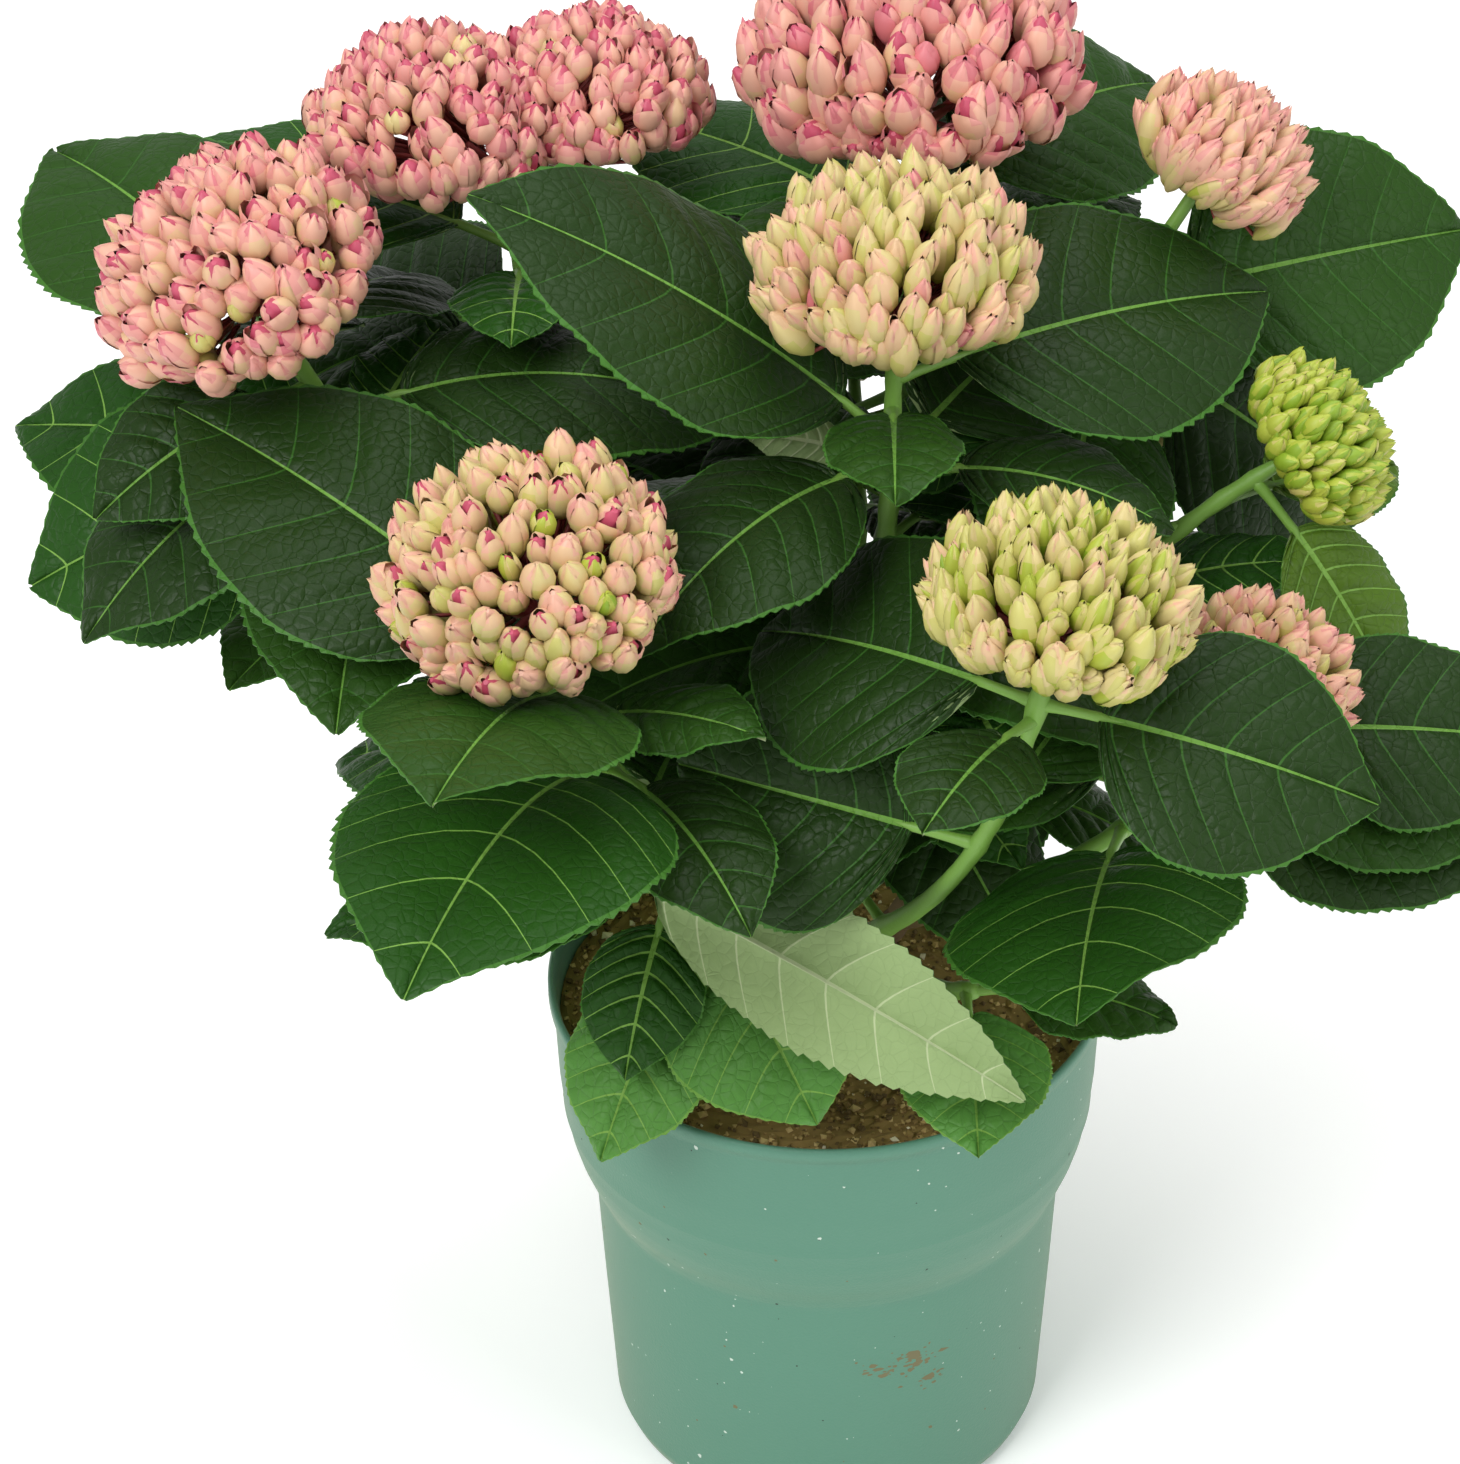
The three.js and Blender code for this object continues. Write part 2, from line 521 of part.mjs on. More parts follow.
function makeHead({ name, centre, axis, radius }) {
  const stalk = lathe([[-HEAD_FOOT * radius + GAP, 3], [-0.3 * radius, 4.5], [-0.12 * radius, 0.4 * radius],
    [0, 0.4 * radius]], 8);
  const lobes = (LOBES[name] ?? [[0, 0, radius]]).map(([x, y, size]) => makeDome(size).translate([x, y, 0]));
  const turn = new THREE.Matrix4().makeRotationFromQuaternion(
    new THREE.Quaternion().setFromUnitVectors(new THREE.Vector3(0, 0, 1), axis));
  return Manifold.union([stalk, ...lobes]).transform(turn.setPosition(centre).elements);
}

for (const head of heads) addMesh(`flower_head_${head.name}`, makeHead(head), 0xe3a99d, 0.7);

export default group;
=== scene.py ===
"""A hydrangea in flower in its nursery pot: the looks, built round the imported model.

The shrub grows here by the same rule as in the model's source, with the same table of shoots, and
each leaf, stem and flower head is then made finer.  Sizes are millimetres until a mesh is made, and
angles are degrees.
"""

import math

import bpy
import numpy as np
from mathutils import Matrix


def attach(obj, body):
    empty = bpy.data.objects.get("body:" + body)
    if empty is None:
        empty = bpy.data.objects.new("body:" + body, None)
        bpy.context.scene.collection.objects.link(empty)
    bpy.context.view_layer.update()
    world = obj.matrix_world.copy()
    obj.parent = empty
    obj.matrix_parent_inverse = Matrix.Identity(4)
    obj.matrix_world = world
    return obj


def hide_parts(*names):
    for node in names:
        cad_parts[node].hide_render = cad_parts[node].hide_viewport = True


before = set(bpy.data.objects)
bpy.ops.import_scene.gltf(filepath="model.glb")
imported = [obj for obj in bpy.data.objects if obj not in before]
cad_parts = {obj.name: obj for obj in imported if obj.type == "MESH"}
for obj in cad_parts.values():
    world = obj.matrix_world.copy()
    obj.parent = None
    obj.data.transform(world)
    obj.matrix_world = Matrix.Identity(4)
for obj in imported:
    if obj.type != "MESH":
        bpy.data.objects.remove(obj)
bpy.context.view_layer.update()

MM = 0.001
rad = math.radians
chance = np.random.default_rng(11)

# ---- sizes that the model's source has too ----
POT_HEIGHT = 230.0
RIM_RADIUS = 117.0
WALL = 2.0
SOIL_TOP = 217.0
STOCK_FOOT = 209.0
CANE_RADIUS = (7.5, 5.8)  # at the foot and at the top, as for the stems
STEM_RADIUS = (4.8, 3.0)
STEM_STEPS = 24
BARE_FOOT = 34.0  # of each stem: no leaf grows there
DOME_HEIGHT = 0.75  # of a flower head over its rim, by its radius
DOME_DEPTH = 0.42
HEAD_FOOT = 0.45  # from the rim down to the stem's tip, by the radius
LEAF_FOLD = 0.2
LEAF_CURL = 0.28
LEAF_BELLY = (0.62, 0.85)
LEAST_DROOP = 4

# The room that a leaf keeps.
LEAF_CLEAR = 5.5
STEM_CLEAR = 8.0
STALK_CLEAR = 6.0
HEAD_CLEAR = 3.0
NODE_CLEAR = 14.0  # to either side of its node, its own stem may be near
BESIDE = 3.0  # this far outside its outline counts as the blade
ACROSS_TO = 18.0  # a line that crosses the blade ends no further outside than this
ROUND_STEP = 80.0  # a longer step in height goes round the blade's circle and not through the blade
FAR_SHARE, FAR_MORE = 0.75, 30.0  # leaves whose middles are further apart can't meet
GROUND_ROOM, RIM_ROOM, SOIL_ROOM = 6.0, 4.0, 7.0
RIM_MARGIN = 7.0
POT_OPEN = 98.0  # inside this radius only the soil is below

POT_OUTSIDE = [
    (0, 87), (3, 90), (9, 92.4), (78, 96.6), (118, 98.8), (129, 99.4), (134, 101.2), (141, 104.6),
    (149, 107.6), (157, 109.8), (168, 111.8), (185, 113.4), (222.5, 115), (224, RIM_RADIUS),
    (228.6, RIM_RADIUS), (POT_HEIGHT, RIM_RADIUS - 1.2),
]
CANES = {
    "front": ((-3, -10, 228), (-4, -34, 272)),
    "left": ((-12, 0, 228), (-36, 6, 276)),
    "right": ((11, -2, 228), (36, -2, 270)),
    "back": ((2, 10, 230), (4, 32, 280)),
}
LOBES = {"back_left": ((-30, -10, 52), (36, 15, 46))}

# The shoots: name, centre of the flower head, lean (compass angle, degrees off upright), radius of
# the head, cane, how far up the cane, pairs of leaves that the rule adds, where the first stands,
# and the blades set one by one: drop below the head, compass angle, rise, length, droop, roll,
# width over length, length of the leaf stalk.
SHOOTS = [
    ("middle", (26, 0, 578), (90, 6), 57, "back", 1, 4, 30, [
        (52, 157, 43, 170, 25, 10, 0.7, 26), (24, 34, 7, 150, 30, -25, 0.75, 26),
        (62, 52, -4, 120, 35, -25, 0.75, 26), (60, 175, 12, 44, 20, -100, 0.5, 16)]),
    ("low_front", (-88, -94, 360), (-130, 50), 0, "front", 0.75, 1, 0, [
        (2, -21, -18, 172, 20, 118, 0.34, 22), (68, -62, -20, 86, 40, -18, 0.98, 22),
        (80, -122, -30, 80, 30, 0, 0.8, 36), (50, -108, -30, 64, 30, 0, 0.8, 18)]),
    ("front_left", (-112, -110, 512), (-120, 14), 58, "front", 1, 0, 20, [
        (32, 149, 37, 166, 25, 15, 0.7, 26), (22, 55, 8, 140, 30, 0, 0.7, 26),
        (46, -107, 34, 130, 35, 0, 0.8, 26), (48, 84, 34, 120, 40, 0, 0.7, 26),
        (95, -112, 30, 165, 55, 0, 0.78, 30), (95, -60, 26, 90, 50, 0, 0.7, 30)]),
    ("front_right", (87, -130, 512), (30, 10), 53, "front", 1, 0, 345, [
        (22, 146, 9, 122, 35, 30, 0.88, 26), (22, -16, -4, 112, 25, -30, 0.88, 24),
        (30, -118, 16, 70, 30, 0, 0.8, 24), (104, 168, 20, 100, 24, 50, 1.05, 26)]),
    ("left", (-230, 20, 565), (-150, 24), 57, "left", 1, 2, 30, [
        (20, 130, 15, 145, 30, 10, 0.75, 26), (20, 70, -8, 110, 30, 0, 0.7, 26),
        (34, 103, 15, 140, 20, 0, 0.7, 26), (44, -140, 22, 90, 50, 20, 0.75, 26),
        (80, -168, -15, 116, 30, 35, 0.9, 34), (98, 170, 15, 160, 26, 20, 0.65, 30)]),
    ("back_left", (-129, 128, 572), (110, 8), 80, "left", 0.8, 4, 10, [
        (26, 164, 16, 130, 22, 0, 0.7, 26), (70, 140, -3, 115, 30, 30, 0.8, 26),
        (100, 80, -3, 110, 30, 0, 0.7, 26)]),
    ("back", (35, 130, 592), (90, 8), 70, "back", 1, 4, 0, [
        (44, 142, 10, 130, 25, 0, 0.7, 26), (20, 43, 4, 140, 35, -25, 0.7, 26),
        (42, 55, 26, 110, 20, 0, 0.7, 26)]),
    ("back_right", (159, 110, 563), (20, 35), 40, "right", 1, 4, 50, [
        (56, 18, 4, 134, 22, -45, 0.85, 26), (16, 20, -20, 64, 20, 0, 0.7, 22),
        (72, 0, -34, 125, 30, -40, 0.85, 30), (76, -70, -14, 120, 30, 10, 0.8, 30)]),
    ("right", (195, 20, 483), (0, 55), 37, "right", 1, 3, 20, [
        (14, -30, -45, 90, 30, -20, 0.62, 26), (50, 150, -8, 110, 30, 20, 0.8, 26),
        (30, 18, -9, 80, 20, -20, 0.6, 26)]),
    ("right_low", (172, -70, 436), (-20, 25), 38, "right", 0.7, 1, 0, [
        (20, 0, 3, 105, 28, -30, 0.8, 26), (42, -18, 12, 116, 25, -20, 0.75, 26),
        (62, -16, 2, 112, 25, -20, 0.7, 26), (94, -102, 18, 124, 26, -16, 0.97, 32)]),
    ("low_right", (60, -66, 272), (-45, 60), 0, "right", 0.4, 1, 0, [
        (6, -88, 12, 78, 40, 0, 0.8, 22), (6, -34, 14, 68, 40, 0, 0.75, 22)]),
    ("low_left", (-95, -10, 345), (-175, 55), 0, "left", 0.5, 2, 80, []),
    ("low_back", (10, 95, 350), (85, 55), 0, "back", 0.5, 2, 10, []),
    ("rear_left", (-175, 120, 400), (145, 40), 40, "left", 0.65, 3, 60, []),
    ("rear", (10, 205, 420), (95, 45), 46, "back", 0.8, 3, 20, []),
    ("rear_right", (150, 160, 400), (45, 42), 44, "back", 0.6, 3, 40, []),
]

# The pairs of leaves that the rule adds: the first one's drop, below leaves set one by one or
# with none, the step to the next, what each step and each draw add, then roll, width, stalk.
SEED = 20
PAIR_DROP = (64, 24)
PAIR_STEP, PAIR_LOOSE = 46, 6
PAIR_SWING = 20
PAIR_RISE, PAIR_SINK, PAIR_LIFT = 18, 7, 16
PAIR_LENGTH, PAIR_MORE = 118, 36
PAIR_DROOP, DROOP_MORE = 34, 20
PAIR_SHAPE = (0, 0.72, 28)
MOST_PAIRS = 5

# Young leaves between them, in an ellipsoid inside the crown: mean and spread, or least and most.
YOUNG_SEED = 5
CROWN_CENTRE = np.array([-20.0, 20.0, 425.0])
CROWN_INSIDE = np.array([205.0, 165.0, 160.0])
YOUNG_DROP, YOUNG_STEP = 38, 23
YOUNG_TURN, YOUNG_SWING = 45, (0, 12)
YOUNG_RISE = (8, 14)
YOUNG_LENGTH = (62, 100)
YOUNG_SHAPE = (32, 0, 0.7, 18)  # droop, roll, width over length, stalk
YOUNG_TRIES = 13

# More young leaves, which close the last gaps: shoot, drop, compass angle, rise.
INNER_LEAVES = [("right", 196, 0, -15), ("rear_right", 52, 0, 5), ("back_left", 36, 270, 25),
                ("right", 100, 0, 25)]
INNER_SHAPE = (72, 30, 0, 0.75, 20)  # length, droop, roll, width over length, stalk

# What a leaf may do to find room, in turn: compass angle, rise, scale.
TRIES = [
    (0, 0, 1), (10, 0, 1), (-10, 0, 1), (0, 10, 1), (0, -10, 1), (20, 0, 1), (-20, 0, 1),
    (10, -12, 0.9), (-10, -12, 0.9), (0, 18, 0.9), (0, -20, 0.9), (30, 0, 0.85), (-30, 0, 0.85),
    (0, 0, 0.75), (15, -20, 0.75), (-15, -20, 0.75), (15, 20, 0.75), (-15, 20, 0.75), (0, -30, 0.7),
    (40, -10, 0.7), (-40, -10, 0.7), (55, 0, 0.85), (-55, 0, 0.85), (70, -10, 0.8), (-70, -10, 0.8),
    (0, -40, 0.8),
]


# ---- small tools ----
def direction(angle, rise):
    """A unit vector from a compass angle (0 is +X, 90 is +Y) and a rise over the horizon."""
    c = math.cos(rad(rise))
    return np.array([c * math.cos(rad(angle)), c * math.sin(rad(angle)), math.sin(rad(rise))])


def unit(v):
    return v / np.linalg.norm(v, axis=-1, keepdims=True)


WORD = 0xFFFFFFFF
STRIDE = 0x6D2B79F5


def random_from(seed):
    """The same small 32-bit generator as the source's, so that the same leaves grow."""
    state = [seed]

    def draw():
        state[0] = (state[0] + STRIDE) & WORD
        t = state[0]
        t = ((t ^ (t >> 15)) * (t | 1)) & WORD
        t ^= (t + (((t ^ (t >> 7)) * (t | 61)) & WORD)) & WORD
        return (t ^ (t >> 14)) / (WORD + 1)

    return draw


def linear(code):
    """A plain colour from its hex code, as the linear numbers that Blender's sockets take."""
    channels = [int(code[i:i + 2], 16) / 255 for i in (0, 2, 4)]
    return [c / 12.92 if c <= 0.04045 else ((c + 0.055) / 1.055) ** 2.4 for c in channels] + [1]


def grid_faces(rows, columns, closed=False, flip=False):
    """The quads of a grid of points, row by row; if closed, its last column joins the first."""
    i = np.arange(rows - 1)[:, None]
    j = np.arange(columns if closed else columns - 1)[None, :]
    k = (j + 1) % columns
    low, high = i * columns, (i + 1) * columns
    quads = np.stack([low + j, low + k, high + k, high + j], -1)
    return quads[..., ::-1] if flip else quads


class Piece:
    """Points and faces gathered for one joined mesh; a tone is the number of a face's material."""

    def __init__(self):
        self.points, self.faces, self.tones, self.count = [], [], [], 0

    def add(self, points, *patches):
        """Adds points, and patches of faces over them with one tone or with one for each face."""
        points = np.asarray(points, float).reshape(-1, 3)
        for faces, tone in patches:
            faces = np.asarray(faces)
            tone = np.broadcast_to(tone, faces.shape[:-1]).reshape(-1)
            self.faces.append(faces.reshape(-1, faces.shape[-1]) + self.count)
            self.tones.append(tone)
        self.points.append(points)
        self.count += len(points)

    def make(self, name, materials, replaced, smooth=True):
        """Makes the mesh, which stands for the nodes in `replaced`."""
        widths = np.concatenate([np.full(len(f), f.shape[1]) for f in self.faces])
        loops = np.concatenate([f.ravel() for f in self.faces])
        mesh = bpy.data.meshes.new(name)
        mesh.vertices.add(self.count)
        mesh.vertices.foreach_set("co", (np.concatenate(self.points) * MM).ravel())
        mesh.loops.add(len(loops))
        mesh.loops.foreach_set("vertex_index", loops.astype(np.int32))
        mesh.polygons.add(len(widths))
        mesh.polygons.foreach_set("loop_start", (np.cumsum(widths) - widths).astype(np.int32))
        mesh.polygons.foreach_set("material_index", np.concatenate(self.tones).astype(np.int32))
        mesh.polygons.foreach_set("use_smooth", np.full(len(widths), smooth))
        for kind in materials:
            mesh.materials.append(kind)
        mesh.update(calc_edges=True)
        mesh.validate()
        piece = bpy.data.objects.new(name, mesh)
        bpy.context.scene.collection.objects.link(piece)
        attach(piece, "root")
        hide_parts(*replaced)
        print(name, "triangles", int((widths - 2).sum()))


OFF_AXIS = np.array([0.31, 0.12, 0.94])  # no tube runs along this


def tube(piece, path, radii, sides, tones, lumps=0.0):
    """A closed tube through points, with a radius and a tone for each; lumps roughen its skin."""
    path, radii = np.asarray(path, float), np.asarray(radii, float)
    axis = unit(np.gradient(path, axis=0))
    east = unit(np.cross(OFF_AXIS, axis))
    north = np.cross(axis, east)
    t = np.arange(sides) * 2 * math.pi / sides
    skin = radii[:, None] + lumps * chance.normal(size=(len(path), sides))
    ring = east[:, None] * np.cos(t)[:, None] + north[:, None] * np.sin(t)[:, None]
    points = path[:, None] + ring * skin[..., None]
    tones = np.broadcast_to(tones, len(path))
    ends = np.arange(sides)
    piece.add(
        points,
        (grid_faces(len(path), sides, closed=True), tones[:-1, None]),
        (ends[::-1][None], tones[0]),
        (ends[None] + (len(path) - 1) * sides, tones[-1]),
    )


# ---- growth: the source's rule ----
STEM_KNEE = 0.5  # the bend's corner: this far below the tip along `axis`, by the whole length
LINE_STEP = 6  # between the points of a stem that are tried against a leaf


class Stem:
    """A stem bends from its foot on a cane to its tip, where it stands along `axis`."""

    def __init__(self, foot, tip, axis):
        knee = tip - axis * STEM_KNEE * np.linalg.norm(tip - foot)
        t = np.linspace(0, 1, STEM_STEPS + 1)[:, None]
        self.points = (1 - t) ** 2 * foot + 2 * t * (1 - t) * knee + t**2 * tip
        steps = np.linalg.norm(np.diff(self.points, axis=0), axis=1)
        self.reached = np.concatenate([[0], np.cumsum(steps)])
        self.length = self.reached[-1]
        self.fine = np.linspace(0, self.length, int(self.length / LINE_STEP) + 1)
        self.line = self.at(self.fine)

    def at(self, distance):
        x = np.clip(distance, 0, self.length)
        return np.stack([np.interp(x, self.reached, c) for c in self.points.T], -1)


BELLY_PEAK = (
    (LEAF_BELLY[0] / sum(LEAF_BELLY)) ** LEAF_BELLY[0]
    * (LEAF_BELLY[1] / sum(LEAF_BELLY)) ** LEAF_BELLY[1]
)
# Where a leaf is tried for room: along its blade, across it and along its stalk.
TRIED_ALONG = 0.02 + 0.098 * np.arange(11)
TRIED_ACROSS = np.arange(-3, 4) / 3
TRIED_STALK = np.linspace(0.3, 0.9, 6)[:, None]


class Leaf:
    """A leaf leaves its node along `out`, and its blade bends down round a circle of 1 / bend."""

    def __init__(self, shoot, node, drop, angle, rise, length, droop, roll, wide, stalk):
        self.shoot, self.node, self.drop, self.length = shoot, node, drop, length
        self.wanted = None  # the compass angle asked for; a young leaf has none
        self.out = direction(angle, rise)
        left = np.array([-math.sin(rad(angle)), math.cos(rad(angle)), 0])
        over = np.cross(self.out, left)
        side = np.cross(over, self.out)
        c, s = math.cos(rad(roll)), math.sin(rad(roll))
        self.up, self.side = over * c + side * s, side * c - over * s
        self.base = node + self.out * stalk
        self.bend = rad(max(droop, LEAST_DROOP)) / length
        self.span = length * wide / 2
        u, v = np.meshgrid(TRIED_ALONG, TRIED_ACROSS, indexing="ij")
        self.grid = self.at(u * length, v * self.half_width(u))
        self.middle = self.at(0.5 * length, 0.0)
        self.stalk = node + TRIED_STALK * (self.base - node)

    def half_width(self, s):
        s = np.clip(s, 0, 1)
        return self.span * s ** LEAF_BELLY[0] * (1 - s) ** LEAF_BELLY[1] / BELLY_PEAK

    def camber(self, v):
        return LEAF_FOLD * np.abs(v) - LEAF_CURL * v * v / self.span

    def at(self, u, v, height=0.0):
        """The point u along the blade and v across it, at a height over its surface."""
        t, v = np.asarray(self.bend * u)[..., None], np.asarray(v)[..., None]
        rise = self.camber(v) + np.asarray(height)[..., None]
        over = self.up * np.cos(t) + self.out * np.sin(t)
        along = self.out * np.sin(t) - self.up * (1 - np.cos(t))
        return self.base + along / self.bend + self.side * v + over * rise

    def seen(self, points):
        """Height of points over the blade's surface, and how far outside its outline they are."""
        r = points - self.base
        a, b, c = r @ self.out, r @ self.up + 1 / self.bend, r @ self.side
        u = np.arctan2(a, b) / self.bend
        past_end = np.maximum(-u, u - self.length)
        outside = np.maximum(np.abs(c) - self.half_width(u / self.length), past_end)
        return np.hypot(a, b) - 1 / self.bend - self.camber(c), outside

    def meets(self, points, clear):
        """Whether a line or a grid of points comes near the blade or passes through it."""
        height, outside = self.seen(points)
        if np.any((outside < BESIDE) & (np.abs(height) < clear)):
            return True
        for axis in range(points.ndim - 1):
            h, o = np.moveaxis(height, axis, 0), np.moveaxis(outside, axis, 0)
            crossed = (h[1:] * h[:-1] < 0) & (np.abs(h[1:] - h[:-1]) < ROUND_STEP)
            near = np.minimum(o[1:], o[:-1]) < BESIDE
            if np.any(crossed & near & (np.maximum(o[1:], o[:-1]) < ACROSS_TO)):
                return True
        return False


def in_head(centre, axis, radius, points, clear):
    """Which points are in a flower head's dome or too close to it."""
    r = points - centre
    t = r @ axis
    q = np.linalg.norm(r - t[..., None] * axis, axis=-1)
    half = np.where(t > 0, DOME_HEIGHT * radius + clear, DOME_DEPTH * radius + clear / 2)
    return (q / (radius + clear)) ** 2 + (t / half) ** 2 < 1


def in_pot_or_ground(points):
    """Which points are too close to the soil, the rim or the ground."""
    r, z = np.hypot(points[..., 0], points[..., 1]), points[..., 2]
    floor = np.where(r < RIM_RADIUS + RIM_MARGIN, POT_HEIGHT + RIM_ROOM, GROUND_ROOM)
    return z < np.where(r <= POT_OPEN, SOIL_TOP + SOIL_ROOM, floor)


def has_room(leaf, stems, heads, leaves):
    if in_pot_or_ground(leaf.grid).any():
        return False
    if any(in_head(*head, leaf.grid, HEAD_CLEAR).any() for head in heads.values()):
        return False
    for name, stem in stems.items():
        own = name == leaf.shoot
        past_node = np.abs(stem.fine - (stem.length - leaf.drop)) > NODE_CLEAR
        line = stem.line[past_node] if own else stem.line
        if leaf.meets(line, STEM_CLEAR):
            return False
        near = np.linalg.norm(line[:, None] - leaf.stalk, axis=2) < STEM_CLEAR
        if not own and near.any():
            return False
    for other in leaves:
        apart = np.linalg.norm(other.middle - leaf.middle)
        if apart > FAR_SHARE * (other.length + leaf.length) + FAR_MORE:
            continue
        if other.meets(leaf.grid, LEAF_CLEAR) or leaf.meets(other.grid, LEAF_CLEAR):
            return False
        if leaf.meets(other.stalk, STALK_CLEAR) or other.meets(leaf.stalk, STALK_CLEAR):
            return False
        near = np.linalg.norm(other.stalk[:, None] - leaf.stalk, axis=2) < STALK_CLEAR
        if other.shoot != leaf.shoot and near.any():
            return False
    return True


def grow():
    """The stems and the flower heads by the name of their shoot, and all leaves."""
    stems, heads, leaves = {}, {}, []

    def place(name, drop, angle, rise, length, *rest):
        stem = stems[name]
        if drop > stem.length - BARE_FOOT:
            return
        node = stem.at(stem.length - drop)
        for turn, lift, scale in TRIES:
            leaf = Leaf(name, node, drop, angle + turn, rise + lift, length * scale, *rest)
            if has_room(leaf, stems, heads, leaves):
                leaf.wanted = angle
                leaves.append(leaf)
                return

    for name, centre, lean, radius, cane, up, *_ in SHOOTS:
        low, high = map(np.array, CANES[cane])
        axis = direction(lean[0], 90 - lean[1])
        centre = np.array(centre, float)
        stems[name] = Stem(low + (high - low) * up, centre - axis * HEAD_FOOT * radius, axis)
        if radius:
            heads[name] = (centre, axis, radius)
    for name, *_, given in SHOOTS:
        for row in given:
            place(name, *row)
    draw = random_from(SEED)
    for k in range(MOST_PAIRS):
        for name, _, _, _, _, _, pairs, turn, given in SHOOTS:
            for side in (0, 180) if k < pairs else ():
                r = [draw() for _ in range(5)]
                first = PAIR_DROP[0] if given else PAIR_DROP[1]
                place(name, first + PAIR_STEP * k + PAIR_LOOSE * (r[0] - 0.5),
                      turn + 90 * k + side + PAIR_SWING * (r[1] - 0.5),
                      PAIR_RISE - PAIR_SINK * k + PAIR_LIFT * (r[2] - 0.5),
                      PAIR_LENGTH + PAIR_MORE * r[3], PAIR_DROOP + DROOP_MORE * r[4], *PAIR_SHAPE)
    # Finer than the source's: young leaves in the gaps, between the pairs of grown ones.
    fine = np.random.default_rng(YOUNG_SEED)
    for name, _, _, _, _, _, _, turn, _ in SHOOTS:
        stem = stems[name]
        for k, drop in enumerate(np.arange(YOUNG_DROP, stem.length - BARE_FOOT, YOUNG_STEP)):
            for side in (0, 180):
                node = stem.at(stem.length - drop)
                turned, lifted = fine.normal(*YOUNG_SWING), fine.normal(*YOUNG_RISE)
                size = fine.uniform(*YOUNG_LENGTH)
                for swing, lift, scale in TRIES[:YOUNG_TRIES]:
                    angle = turn + YOUNG_TURN + 90 * k + side + turned + swing
                    leaf = Leaf(name, node, drop, angle, lifted + lift, size * scale, *YOUNG_SHAPE)
                    depth = np.linalg.norm((leaf.grid - CROWN_CENTRE) / CROWN_INSIDE, axis=-1)
                    if depth.max() < 1 and has_room(leaf, stems, heads, leaves):
                        leaves.append(leaf)
                        break
    for name, drop, angle, rise in INNER_LEAVES:
        node = stems[name].at(stems[name].length - drop)
        leaf = Leaf(name, node, drop, angle, rise, *INNER_SHAPE)
        if has_room(leaf, stems, heads, leaves):
            leaves.append(leaf)
    return stems, heads, leaves


# ---- materials ----
RELIEF_DETAIL = 3.0
CELL_ROUNDNESS = 0.45  # the power that rounds a cell's top
CELL_HEIGHT = 1.5  # against the noise between the cells


def material(name, colour, roughness, bump=0.0, bump_scale=300.0, cells=0.0, **sockets):
    """A plain base colour; `bump` is the height in metres of a fine relief, and `cells` the scale
    of a net of small swellings in it, as between a leaf's finest veins."""
    made = bpy.data.materials.new(name)
    made.use_nodes = True
    nodes, links = made.node_tree.nodes, made.node_tree.links
    shader = nodes["Principled BSDF"]
    shader.inputs["Base Color"].default_value = linear(colour)
    shader.inputs["Roughness"].default_value = roughness
    for socket, value in sockets.items():
        shader.inputs[socket.replace("_", " ")].default_value = value
    if bump:
        place = nodes.new("ShaderNodeTexCoord")
        noise = nodes.new("ShaderNodeTexNoise")
        noise.inputs["Scale"].default_value = bump_scale
        noise.inputs["Detail"].default_value = RELIEF_DETAIL
        relief = nodes.new("ShaderNodeBump")
        relief.inputs["Distance"].default_value = bump
        links.new(place.outputs["Object"], noise.inputs["Vector"])
        height = noise.outputs["Fac"]
        if cells:
            net = nodes.new("ShaderNodeTexVoronoi")
            net.feature = "DISTANCE_TO_EDGE"
            net.inputs["Scale"].default_value = cells
            swell = nodes.new("ShaderNodeMath")
            swell.operation = "POWER"
            swell.inputs[1].default_value = CELL_ROUNDNESS
            both = nodes.new("ShaderNodeMath")
            both.operation = "MULTIPLY_ADD"
            both.inputs[1].default_value = CELL_HEIGHT
            links.new(place.outputs["Object"], net.inputs["Vector"])
            links.new(net.outputs["Distance"], swell.inputs[0])
            links.new(swell.outputs["Value"], both.inputs[0])
            links.new(height, both.inputs[2])
            height = both.outputs["Value"]
        links.new(height, relief.inputs["Height"])
        links.new(relief.outputs["Normal"], shader.inputs["Normal"])
    return made


# ---- leaves ----
# The tones of a blade, first the five that whole leaves' upper sides take.
LEAF_TONES = ["1d350f", "254512", "204811", "4f8238", "4c6a1e", "315a20", "76a048", "66933e",
              "3c6a26", "8aa06c", "a9b78c"]
(DEEP, MID, BRIGHT, YOUNG, OLIVE, DARK_VEIN, PALE_VEIN, MIDRIB, DARK_MARGIN, UNDER,
 UNDER_VEIN) = range(11)
# Places along a blade are by its length, and places across it from the midrib to the margin.
ACROSS = np.array([0.14, 0.34, 0.55, 0.75, 0.92, 0.985, 1.0])
BLADE_ENDS = (0.004, 0.997)
VEINS = 8  # on each side
LOWEST_VEIN, VEIN_SPREAD = 0.09, 0.82  # where they end at the margin
VEIN_SLANT, VEIN_FROM = 0.66, 0.12
VEIN_HALF = (0.48, 0.18)  # at the midrib and at the margin
VEIN_BEND = 1.35
VEIN_SUNK, VEIN_RIDGE = 0.25, 0.35
TEETH = (2, 3)  # below the lowest vein, and between one vein and the next
TOOTH_TIP = 0.66
TOOTH_SIZE, FULL_LENGTH = 1.15, 130
TOOTH_LOOSE = (0.7, 1.25)
TOOTH_LEAN = 0.6
TIP_FROM, TIP_LENGTH, TIP_DRAWN, TIP_POWER = 0.72, 0.28, 0.3, 1.3  # the tip is drawn out
